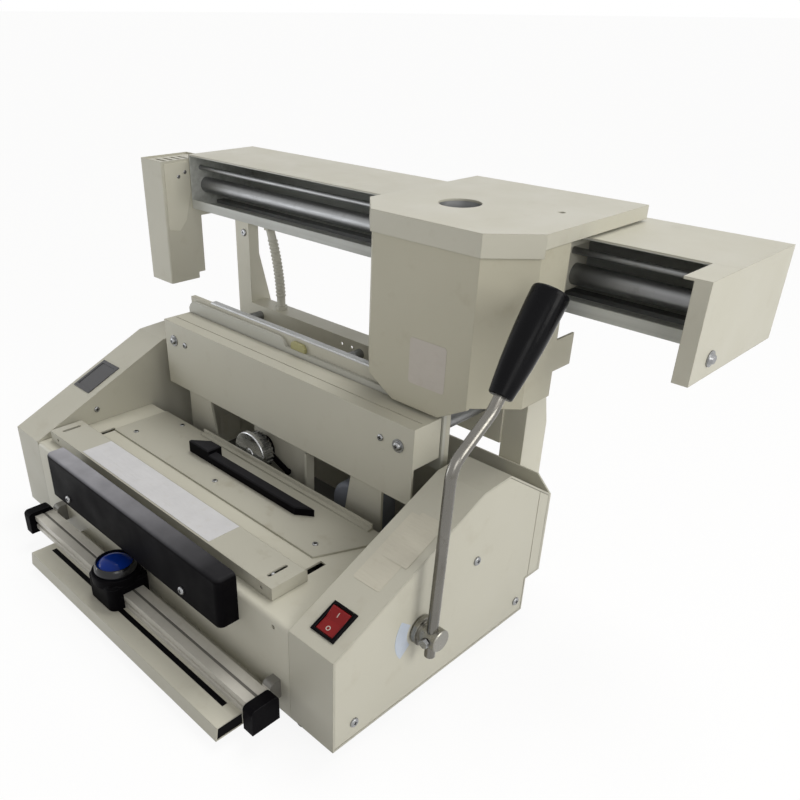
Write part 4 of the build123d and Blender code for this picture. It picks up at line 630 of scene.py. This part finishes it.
def thread_tree(floats, steps):
    """A round core with a helical ridge of so many steps a turn, along +z from the origin."""
    tree, given, output = new_tree("screw thread", floats)
    link = tree.links.new

    def worked(operation, first, second):
        made = tree.nodes.new("ShaderNodeMath")
        made.operation = operation
        for socket, value in zip(made.inputs, (first, second)):
            if isinstance(value, bpy.types.NodeSocket):
                link(value, socket)
            else:
                socket.default_value = value
        return made.outputs[0]

    radius, span, pitch, depth = (given.outputs[name] for name in ("Radius", "Length", "Pitch", "Depth"))
    core = worked("SUBTRACT", radius, depth)
    middle = worked("SUBTRACT", radius, worked("MULTIPLY", depth, 0.5))
    spiral = tree.nodes.new("GeometryNodeCurveSpiral")
    spiral.inputs["Resolution"].default_value = steps
    link(worked("DIVIDE", span, pitch), spiral.inputs["Rotations"])
    link(middle, spiral.inputs["Start Radius"])
    link(middle, spiral.inputs["End Radius"])
    link(span, spiral.inputs["Height"])
    ridge = tree.nodes.new("GeometryNodeCurvePrimitiveQuadrilateral")
    ridge.mode = "TRAPEZOID"
    ridge.inputs["Offset"].default_value = 0
    link(depth, ridge.inputs["Height"])
    link(worked("MULTIPLY", pitch, RIDGE_FOOT), ridge.inputs["Bottom Width"])
    link(worked("MULTIPLY", pitch, RIDGE_TOP), ridge.inputs["Top Width"])
    swept = tree.nodes.new("GeometryNodeCurveToMesh")
    swept.inputs["Fill Caps"].default_value = True
    link(spiral.outputs["Curve"], swept.inputs["Curve"])
    link(ridge.outputs["Curve"], swept.inputs["Profile Curve"])
    bar = tree.nodes.new("GeometryNodeMeshCylinder")
    bar.inputs["Vertices"].default_value = 32
    link(core, bar.inputs["Radius"])
    link(span, bar.inputs["Depth"])
    raised = tree.nodes.new("GeometryNodeTransform")
    lift = tree.nodes.new("ShaderNodeCombineXYZ")
    link(worked("MULTIPLY", span, 0.5), lift.inputs["Z"])
    link(bar.outputs["Mesh"], raised.inputs["Geometry"])
    link(lift.outputs[0], raised.inputs["Translation"])
    joined = tree.nodes.new("GeometryNodeJoinGeometry")
    link(swept.outputs["Mesh"], joined.inputs[0])
    link(raised.outputs["Geometry"], joined.inputs[0])
    finish_tree(tree, joined.outputs[0], output, "turned steel")
    return tree


# Operators: one for the stage and one for each group of pieces


# The floor's size and glow, and the light of the world and of the sun
FLOOR_SIZE = 120
FLOOR_GLOW = 0.9
WORLD_COLOUR, WORLD_STRENGTH = (0.96, 0.93, 0.88, 1), 0.3
SUN_STRENGTH, SUN_SPREAD = 1.22, 28
SUN_COLOUR, SUN_WAY = (1.0, 0.99, 0.97), Vector((0.1, -0.4, -1.0))
LAMP_TARGET = Vector((0, 0, 0.2))
# Each lamp's name, place, size, power and colour
LAMPS = (
    ("key lamp", (1.9, 0.35, 1.1), 1.0, 16, (1.0, 0.99, 0.95)),
    ("left lamp", (-0.8, -0.62, 0.24), 0.42, 1.9, (0.93, 0.96, 1.0)),
    ("front lamp", (1.25, -0.78, 0.8), 0.6, 3.3, (1.0, 0.99, 0.97)),
)
# The camera's place, its turn to the left, downward and about its own line in degrees, and its shift
CAMERA_PLACE = (0.57695, -0.4774, 0.53466)
CAMERA_YAW, CAMERA_PITCH, CAMERA_ROLL = 45.887, 29.777, 0.481
CAMERA_SHIFT = 0.0765, 0.0808


def background_rays(tree):
    """1 on the rays that show the background: those of the camera, of reflections and through glass."""
    path = tree.nodes.new("ShaderNodeLightPath")
    rays = path.outputs["Is Camera Ray"]
    for kind in ("Is Glossy Ray", "Is Transmission Ray"):
        most = tree.nodes.new("ShaderNodeMath")
        most.operation = "MAXIMUM"
        tree.links.new(rays, most.inputs[0])
        tree.links.new(path.outputs[kind], most.inputs[1])
        rays = most.outputs[0]
    return rays


class BINDER_OT_stage(bpy.types.Operator):
    """Floor, plain light and the camera at the photograph's viewing angle"""
    bl_idname = "binder.stage"
    bl_label = "Stage"

    def execute(self, context):
        self.floor(context)
        self.world(context)
        self.lamps(context)
        self.camera(context)
        return {"FINISHED"}

    def floor(self, context):
        """A wide floor that takes shadows and is white to the camera."""
        tone = tuple(context.scene.binder_colours.floor)
        ground = Finish("floor")
        rays = background_rays(ground.tree)
        glow = ground.node("ShaderNodeEmission")
        mixed = ground.node("ShaderNodeMixShader")
        ground.join(ground.combined("MULTIPLY", rays, FLOOR_GLOW), mixed.inputs[0])
        ground.join(ground.shader.outputs[0], mixed.inputs[1])
        ground.join(glow.outputs[0], mixed.inputs[2])
        ground.join(mixed.outputs[0], ground.output.inputs["Surface"])
        bounce = ground.blend(ground.noise(3), scaled(tone, 0.98), tone)
        ground.done(ground.blend(rays, bounce, (1.0, 1.0, 1.0)), 0.9)
        builder = bmesh.new()
        bmesh.ops.create_grid(builder, x_segments=1, y_segments=1, size=FLOOR_SIZE)
        mesh = bpy.data.meshes.new("floor")
        builder.to_mesh(mesh)
        builder.free()
        mesh.materials.append(ground.material)
        floor = bpy.data.objects.new("floor", mesh)
        context.scene.collection.objects.link(floor)

    def world(self, context):
        """Even light from all sides, behind which the camera sees white."""
        world = bpy.data.worlds.new("studio")
        context.scene.world = world
        world.use_nodes = True
        tree = world.node_tree
        tree.nodes.clear()
        output = tree.nodes.new("ShaderNodeOutputWorld")
        lit = tree.nodes.new("ShaderNodeBackground")
        lit.inputs["Color"].default_value = WORLD_COLOUR
        lit.inputs["Strength"].default_value = WORLD_STRENGTH
        seen = tree.nodes.new("ShaderNodeBackground")
        seen.inputs["Color"].default_value = (1, 1, 1, 1)
        mixed = tree.nodes.new("ShaderNodeMixShader")
        tree.links.new(background_rays(tree), mixed.inputs[0])
        tree.links.new(lit.outputs[0], mixed.inputs[1])
        tree.links.new(seen.outputs[0], mixed.inputs[2])
        tree.links.new(mixed.outputs[0], output.inputs[0])

    def lamps(self, context):
        """A soft light from above and three square lamps."""
        sun = self.lamp(context, "top light", "SUN", SUN_STRENGTH, SUN_COLOUR, (0, 0, 0), SUN_WAY)
        sun.angle = math.radians(SUN_SPREAD)
        for name, spot, size, power, tone in LAMPS:
            area = self.lamp(context, name, "AREA", power, tone, spot, LAMP_TARGET - Vector(spot))
            area.size = size

    def lamp(self, context, name, kind, power, tone, spot, way):
        """Adds a lamp that shines one way, and returns its settings."""
        data = bpy.data.lights.new(name, kind)
        data.energy = power
        data.color = tone
        lamp = bpy.data.objects.new(name, data)
        lamp.location = spot
        lamp.rotation_euler = way.to_track_quat("-Z", "Y").to_euler()
        context.scene.collection.objects.link(lamp)
        return data

    def camera(self, context):
        """The camera that took the photograph, as fitted to its straight edges."""
        yaw, pitch, roll = (math.radians(angle) for angle in (CAMERA_YAW, CAMERA_PITCH, CAMERA_ROLL))
        ahead = Vector((-math.sin(yaw) * math.cos(pitch), math.cos(yaw) * math.cos(pitch), -math.sin(pitch)))
        level = Vector((math.cos(yaw), math.sin(yaw), 0))
        upright = level.cross(ahead)
        right = math.cos(roll) * level + math.sin(roll) * upright
        above = math.cos(roll) * upright - math.sin(roll) * level
        data = bpy.data.cameras.new("camera")
        data.lens = context.scene.binder_sizes.lens
        data.sensor_width = 36
        data.shift_x, data.shift_y = CAMERA_SHIFT
        camera = bpy.data.objects.new("camera", data)
        turn = Matrix((right, above, -ahead)).transposed().to_4x4()
        camera.matrix_world = Matrix.Translation(CAMERA_PLACE) @ turn
        context.scene.collection.objects.link(camera)
        context.scene.camera = camera
        context.scene.view_settings.view_transform = "Standard"


class BINDER_OT_housing(bpy.types.Operator):
    """Powder coat on the cabinets, deck, jaws, gantry and carriage"""
    bl_idname = "binder.housing"
    bl_label = "Housing finishes"

    def execute(self, context):
        dress("cabinet coat", "cabinet_left", "cabinet_right")
        dress("cream coat", "side_panels", "rear_casing", "deck", "carriage_lid",
              "end_cap", "front_jaw", "hanging_unit")
        # Painted shade: the carriage body gets a darker copy of the cream
        dress("carriage coat", "carriage_body")
        dress("cream coat worn", "creaser_base", "jaw_supports", "rear_jaw", "carriage_bracket")
        dress("pale coat", "posts", "rear_beam")
        # Painted shade: the table, ledge and tray get a darker copy of the cream
        dress("table coat", "rear_table", "table_ledge", "tray")
        dress("gantry coat", "gantry_channel")
        dress("grey hood coat", "cover_housing")
        dress("floor plate coat", "base_plate")
        return {"FINISHED"}


class BINDER_OT_metalwork(bpy.types.Operator):
    """Finishes of rails, rods, screws, lever, tank and bearings"""
    bl_idname = "binder.metalwork"
    bl_label = "Metalwork finishes"

    def execute(self, context):
        dress("ground rod", "rails", "lever_shaft", "guide_rods")
        dress("turned steel", "crank_wheel", "glue_roller", "crease_wheel")
        dress("lever steel", "lever_rod")
        dress("hub steel", "lever_hub")
        dress("zinc screw", "screws", "rod_bolts", "lever_bolt")
        dress("brushed sheet", "spine_strip", "tray_brackets", "crank_arms", "filler_tube", "drip_guard")
        dress("anodised rail", "creaser_rail")
        dress("cast aluminium", "glue_tank")
        dress("turned brass", "bushes")
        return {"FINISHED"}


class BINDER_OT_mouldings(bpy.types.Operator):
    """Finishes of plastic, rubber and board parts"""
    bl_idname = "binder.mouldings"
    bl_label = "Plastic finishes"

    def execute(self, context):
        dress("black moulding", "crank_handle", "creaser_caps", "slider_body", "switch_bezel", "power_inlet")
        dress("black front bar", "front_bar")
        dress("black stop bar", "stop_bar")
        dress("foot rubber", "feet")
        dress("red rocker", "switch_rocker")
        dress("blue button", "crease_button")
        dress("display glass", "display_window")
        dress("white nylon", "rear_jaw_facing")
        dress("conduit nylon", "conduit", "conduit_glands")
        dress("tan board", "heat_block")
        dress("blank label", "tray_sheet")
        return {"FINISHED"}


def screw_heads():
    """Each cross-recessed head: the way it faces, and its place in the machine's millimetres."""
    left, right, front, up = (-1, 0, 0), (1, 0, 0), (0, -1, 0), (0, 0, 1)
    side_panel, table_top = 271.8, 107.95
    mirrored = ((156, 165.7, 195), (178, 163.4, 195), (207, 297.9, 294))
    heads = [(right, (-216.2, 77, 121)), (right, (388.55, 278, 310))]
    for way, side in ((left, -1), (right, 1)):
        heads += [(way, (side * side_panel, y, z)) for y, z in ((24, 26), (175, 113), (249.5, 25.6))]
        heads += [(front, (side * x, y, z)) for x, y, z in mirrored]
    heads += [(front, (x, -22.4, 86)) for x in (-112, 96)]
    heads += [(up, (x, y, table_top)) for x, y in ((-161, 94), (-138, 142), (-8, 94), (147, 94))]
    return heads


class BINDER_OT_recesses(bpy.types.Operator):
    """Cross recesses in the heads of the housing's screws, drawn as black slots of painted shade"""
    bl_idname = "binder.recesses"
    bl_label = "Screw recesses"

    def execute(self, context):
        sizes = context.scene.binder_sizes
        heads = screw_heads()
        mesh = bpy.data.meshes.new("recess points")
        mesh.from_pydata([place(*spot) for _, spot in heads], [], [])
        ways = mesh.attributes.new("way", "FLOAT_VECTOR", "POINT")
        for point, (way, _) in zip(ways.data, heads):
            point.vector = way
        inputs = {"Length": sizes.recess_length, "Width": sizes.recess_width, "Depth": sizes.recess_depth}
        recesses = nodes_result("screw_recesses", mesh, recess_tree(inputs), inputs)
        # Painted shade: the black slots stand in for the shade inside each recess
        settle(recesses, "black moulding", "base")
        return {"FINISHED"}


class BINDER_OT_lead_screw(bpy.types.Operator):
    """The clamp's lead screw with its thread"""
    bl_idname = "binder.lead_screw"
    bl_label = "Lead screw"

    def execute(self, context):
        sizes = context.scene.binder_sizes
        low, high = node_box("lead_screw")
        inputs = {
            "Radius": (high.x - low.x) / 2,
            "Length": high.y - low.y,
            "Pitch": sizes.thread_pitch,
            "Depth": sizes.thread_depth,
        }
        tree = thread_tree(inputs, sizes.thread_steps)
        screw = nodes_result("threaded_screw", bpy.data.meshes.new("start"), tree, inputs)
        turn = Matrix.Rotation(math.radians(-90), 4, "X")
        spot = Matrix.Translation(((low.x + high.x) / 2, low.y, (low.z + high.z) / 2))
        screw.data.transform(spot @ turn)
        settle(screw, "turned steel", "clamp_screw")
        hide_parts("lead_screw")
        return {"FINISHED"}


class BINDER_OT_labels(bpy.types.Operator):
    """Blank sheets where the machine carries its labels"""
    bl_idname = "binder.labels"
    bl_label = "Blank labels"

    def execute(self, context):
        thin = context.scene.binder_sizes.label_thickness
        builder = bmesh.new()
        for spot, width, height, corner in (
            (on_slope(242.5, 97, 0.02), 0.029, 0.077, 0.0015),
            (on_slope(249.5, 112, 0.3), 0.026, 0.052, 0.0012),
        ):
            outline = rounded_outline(spot, SLOPE_ALONG, width, height, corner)
            plate(builder, outline, SLOPE_NORMAL, thin)
        piece_from("slope_labels", builder, "faded label", "base")
        builder = bmesh.new()
        plate(builder, self.sector(place(269.72, 101.5, 80.3), 0.0165, 0.031, 140, 220), ACROSS, thin)
        piece_from("scale_plate", builder, "scale sheet", "base")
        low, high = node_box("carriage_body")
        builder = bmesh.new()
        spot = Vector(((low.x + high.x) / 2 + 0.012, low.y - CLEARANCE, low.z + 0.045))
        plate(builder, rounded_outline(spot, (0, 0, 1), 0.041, 0.043, 0.003), (0, -1, 0), thin)
        piece_from("carriage_label", builder, "white label", "carriage")
        return {"FINISHED"}

    def sector(self, centre, inner, outer, start, end, steps=16):
        """Corners of a ring's sector between two angles in degrees, seen from the machine's side."""
        angles = [math.radians(start + (end - start) * step / steps) for step in range(steps + 1)]
        arc = [(outer, angle) for angle in angles] + [(inner, angle) for angle in reversed(angles)]
        return [centre + Vector((0, math.cos(angle), math.sin(angle))) * radius for radius, angle in arc]


# Outlines of turned pieces, as pairs of radius and height in metres
RING_PROFILE = (
    (0.0178, -0.0060), (0.0181, -0.0034), (0.0188, -0.0035), (0.0199, -0.0053), (0.0207, -0.0078),
    (0.0211, -0.0100), (0.0211, -0.0150), (0.0207, -0.0150), (0.0200, -0.0110), (0.0188, -0.0080),
)
GRIP_PROFILE = (
    (0, 0), (0.0088, 0), (0.0098, 0.0009), (0.0112, 0.012), (0.0129, 0.028), (0.0141, 0.045), (0.0148, 0.060),
    (0.0152, 0.074), (0.0152, 0.0842), (0.0149, 0.0862), (0.0142, 0.0872), (0.0135, 0.0872), (0.0131, 0.0862),
    (0, 0.0862),
)
PLUG_PROFILE = ((0, 0.0855), (0.013, 0.0855), (0.013, 0.0868), (0.0124, 0.0872), (0, 0.0876))
# The clamp block's corners as a share of its height, and how far its edges are softened
BLOCK_CORNER, BLOCK_EDGE = 0.45, 0.0005
MARK_THICKNESS = 0.00012
MARK_PROFILE = ((0.0014, 0), (0.0014, MARK_THICKNESS), (0.0021, MARK_THICKNESS), (0.0021, 0))


class BINDER_OT_creaser_trim(bpy.types.Operator):
    """Black pad in the creaser's groove, a grey strip in the rail's groove that stands in for the groove's
    shade, and the ring round the palm button
    """
    bl_idname = "binder.creaser_trim"
    bl_label = "Creaser trim"

    def execute(self, context):
        for name, finish, x, y, z in (
            ("groove_pad", "black moulding", (-129, 178.5), (-42.2, -36.8), (21.6, 22.2)),
            # Painted shade: a grey strip nearly filling the rail's groove, standing in for the groove's shade
            ("rail_insert", "rail insert", (-179.9, 205.9), (-24.4, -21.6), (34, 37.6)),
        ):
            builder = bmesh.new()
            boxed(builder, x, y, z, 0.0001)
            piece_from(name, builder, finish, "base")
        low, high = node_box("crease_button")
        top = Matrix.Translation(((low.x + high.x) / 2, (low.y + high.y) / 2, high.z))
        builder = bmesh.new()
        turned(builder, RING_PROFILE, 72, top, hollow=True)
        piece_from("button_ring", builder, "gloss ring", "crease_button")
        return {"FINISHED"}


class BINDER_OT_lever_grip(bpy.types.Operator):
    """The lever's turned grip, with the plug in its end"""
    bl_idname = "binder.lever_grip"
    bl_label = "Lever grip"

    def execute(self, context):
        rod_bend, rod_run, grip_seat = (285, 150, 272.5), (0, 16.5, 22.1), 0.0127
        lean = Vector(rod_run).normalized()
        turn = lean.to_track_quat("Z", "Y").to_matrix().to_4x4()
        seat = Matrix.Translation(place(*rod_bend) + lean * grip_seat) @ turn
        grip = self.shaped("turned_grip", GRIP_PROFILE, seat, "black gloss grip")
        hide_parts("lever_grip")
        self.shaped("grip_plug", PLUG_PROFILE, seat, "grip plug")
        return {"FINISHED"}

    def shaped(self, name, profile, seat, finish):
        """A turned piece on the lever."""
        builder = bmesh.new()
        turned(builder, profile, seat=seat)
        return piece_from(name, builder, finish, "lever")


class BINDER_OT_clamp_block(bpy.types.Operator):
    """Olive block on the middle of the clamp, rounded at the left and bevelled at the right"""
    bl_idname = "binder.clamp_block"
    bl_label = "Clamp block"

    def execute(self, context):
        low, high = node_box("centre_block")
        corner = (high.z - low.z) * BLOCK_CORNER
        outline = [(high.x, low.z), (high.x, high.z - corner), (high.x - corner, high.z)]
        for step in range(7):
            angle = math.radians(90 + 15 * step)
            aside, up = corner * math.cos(angle), corner * math.sin(angle)
            outline.append((low.x + corner + aside, high.z - corner + up))
        outline.append((low.x, low.z))
        builder = bmesh.new()
        plate(builder, [Vector((x, low.y, z)) for x, z in outline], (0, 1, 0), high.y - low.y)
        rim = [edge for edge in builder.edges if abs(edge.verts[0].co.y - edge.verts[1].co.y) < 1e-7]
        soften(builder, rim, BLOCK_EDGE)
        piece = piece_from("shaped_block", builder, "olive nylon", "rear_jaw")
        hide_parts("centre_block")
        return {"FINISHED"}


class BINDER_OT_unit_gusset(bpy.types.Operator):
    """Tapered plate with two screws on the hanging unit's inner side, and the screw in the tray's slot"""
    bl_idname = "binder.unit_gusset"
    bl_label = "Unit gusset"

    def execute(self, context):
        inner_side, thickness = -309.98, 0.0008
        corners = ((258.5, 365.5), (295.5, 367), (295.5, 330), (285.5, 294.5), (274.5, 282), (258, 285))
        builder = bmesh.new()
        plate(builder, [place(inner_side, y, z) for y, z in corners], ACROSS, thickness, 0.0003)
        piece_from("unit_gusset", builder, "pale coat", "base")
        sideways = Matrix.Rotation(math.radians(90), 4, "Y")
        builder = bmesh.new()
        for y, z in ((278.5, 349), (288.5, 353.5)):
            screw_head(builder, place(-309.2, y, z), 0.0023, sideways)
        piece_from("gusset_screws", builder, "zinc screw", "base")
        builder = bmesh.new()
        screw_head(builder, place(163.5, 29.8, 116.2), 0.0022)
        piece_from("slot_screw", builder, "zinc screw", "tray")
        return {"FINISHED"}


class BINDER_OT_closing_plates(bpy.types.Operator):
    """Small plates that close the cabinets' rear steps toward the middle"""
    bl_idname = "binder.closing_plates"
    bl_label = "Closing plates"

    def execute(self, context):
        builder = bmesh.new()
        for x in ((-219.4, -217.9), (217.9, 219.4)):
            boxed(builder, x, (252, 285.4), (8.6, 52), 0.0002)
        piece_from("closing_plates", builder, "cream coat worn", "base")
        return {"FINISHED"}


class BINDER_OT_switch_marks(bpy.types.Operator):
    """The on and off marks of the rocker"""
    bl_idname = "binder.switch_marks"
    bl_label = "Switch marks"

    def execute(self, context):
        tilt = SLOPE_ANGLE + math.radians(ROCKER_TIP)
        along = Vector((0, math.cos(tilt), math.sin(tilt)))
        normal = Vector((0, -math.sin(tilt), math.cos(tilt)))
        pivot = on_slope(245, 25, -4)
        reach, rise, pad_slope = 0.0064, 0.0046, 0.15
        builder = bmesh.new()
        for side in (-1, 1):
            lean = math.atan(pad_slope) * side
            pad = (along * math.cos(lean) + normal * math.sin(lean)).normalized()
            face = ACROSS.cross(pad)
            spot = pivot + along * side * reach + normal * (rise + reach * pad_slope) + face * CLEARANCE
            if side < 0:
                seat = Matrix.Translation(spot) @ Matrix((ACROSS, pad, face)).transposed().to_4x4()
                turned(builder, MARK_PROFILE, 28, seat, hollow=True)
            else:
                outline = rounded_outline(spot, pad, 0.0007, 0.0042, 0.0003)
                plate(builder, outline, face, MARK_THICKNESS)
        piece_from("switch_marks", builder, "white label", "rocker")
        return {"FINISHED"}


class BINDER_PT_panel(bpy.types.Panel):
    """Lists the steps that dress the binding machine"""
    bl_label = "Binding Machine"
    bl_idname = "BINDER_PT_panel"
    bl_space_type = "VIEW_3D"
    bl_region_type = "UI"
    bl_category = "Binder"

    def draw(self, context):
        for group in (context.scene.binder_colours, context.scene.binder_sizes):
            box = self.layout.box()
            for key in group.__annotations__:
                box.prop(group, key)
        for step in STEPS:
            self.layout.operator(step.bl_idname)


STEPS = (
    BINDER_OT_stage,
    BINDER_OT_housing,
    BINDER_OT_metalwork,
    BINDER_OT_mouldings,
    BINDER_OT_recesses,
    BINDER_OT_lead_screw,
    BINDER_OT_creaser_trim,
    BINDER_OT_lever_grip,
    BINDER_OT_clamp_block,
    BINDER_OT_unit_gusset,
    BINDER_OT_closing_plates,
    BINDER_OT_labels,
    BINDER_OT_switch_marks,
)
CLASSES = (BinderColours, BinderSizes, *STEPS, BINDER_PT_panel)


def register():
    for cls in CLASSES:
        bpy.utils.register_class(cls)
    bpy.types.Scene.binder_colours = PointerProperty(type=BinderColours)
    bpy.types.Scene.binder_sizes = PointerProperty(type=BinderSizes)


def unregister():
    del bpy.types.Scene.binder_sizes
    del bpy.types.Scene.binder_colours
    for cls in reversed(CLASSES):
        bpy.utils.unregister_class(cls)


def main():
    register()
    for step in STEPS:
        group, name = step.bl_idname.split(".")
        getattr(getattr(bpy.ops, group), name)()


if __name__ == "__main__":
    main()
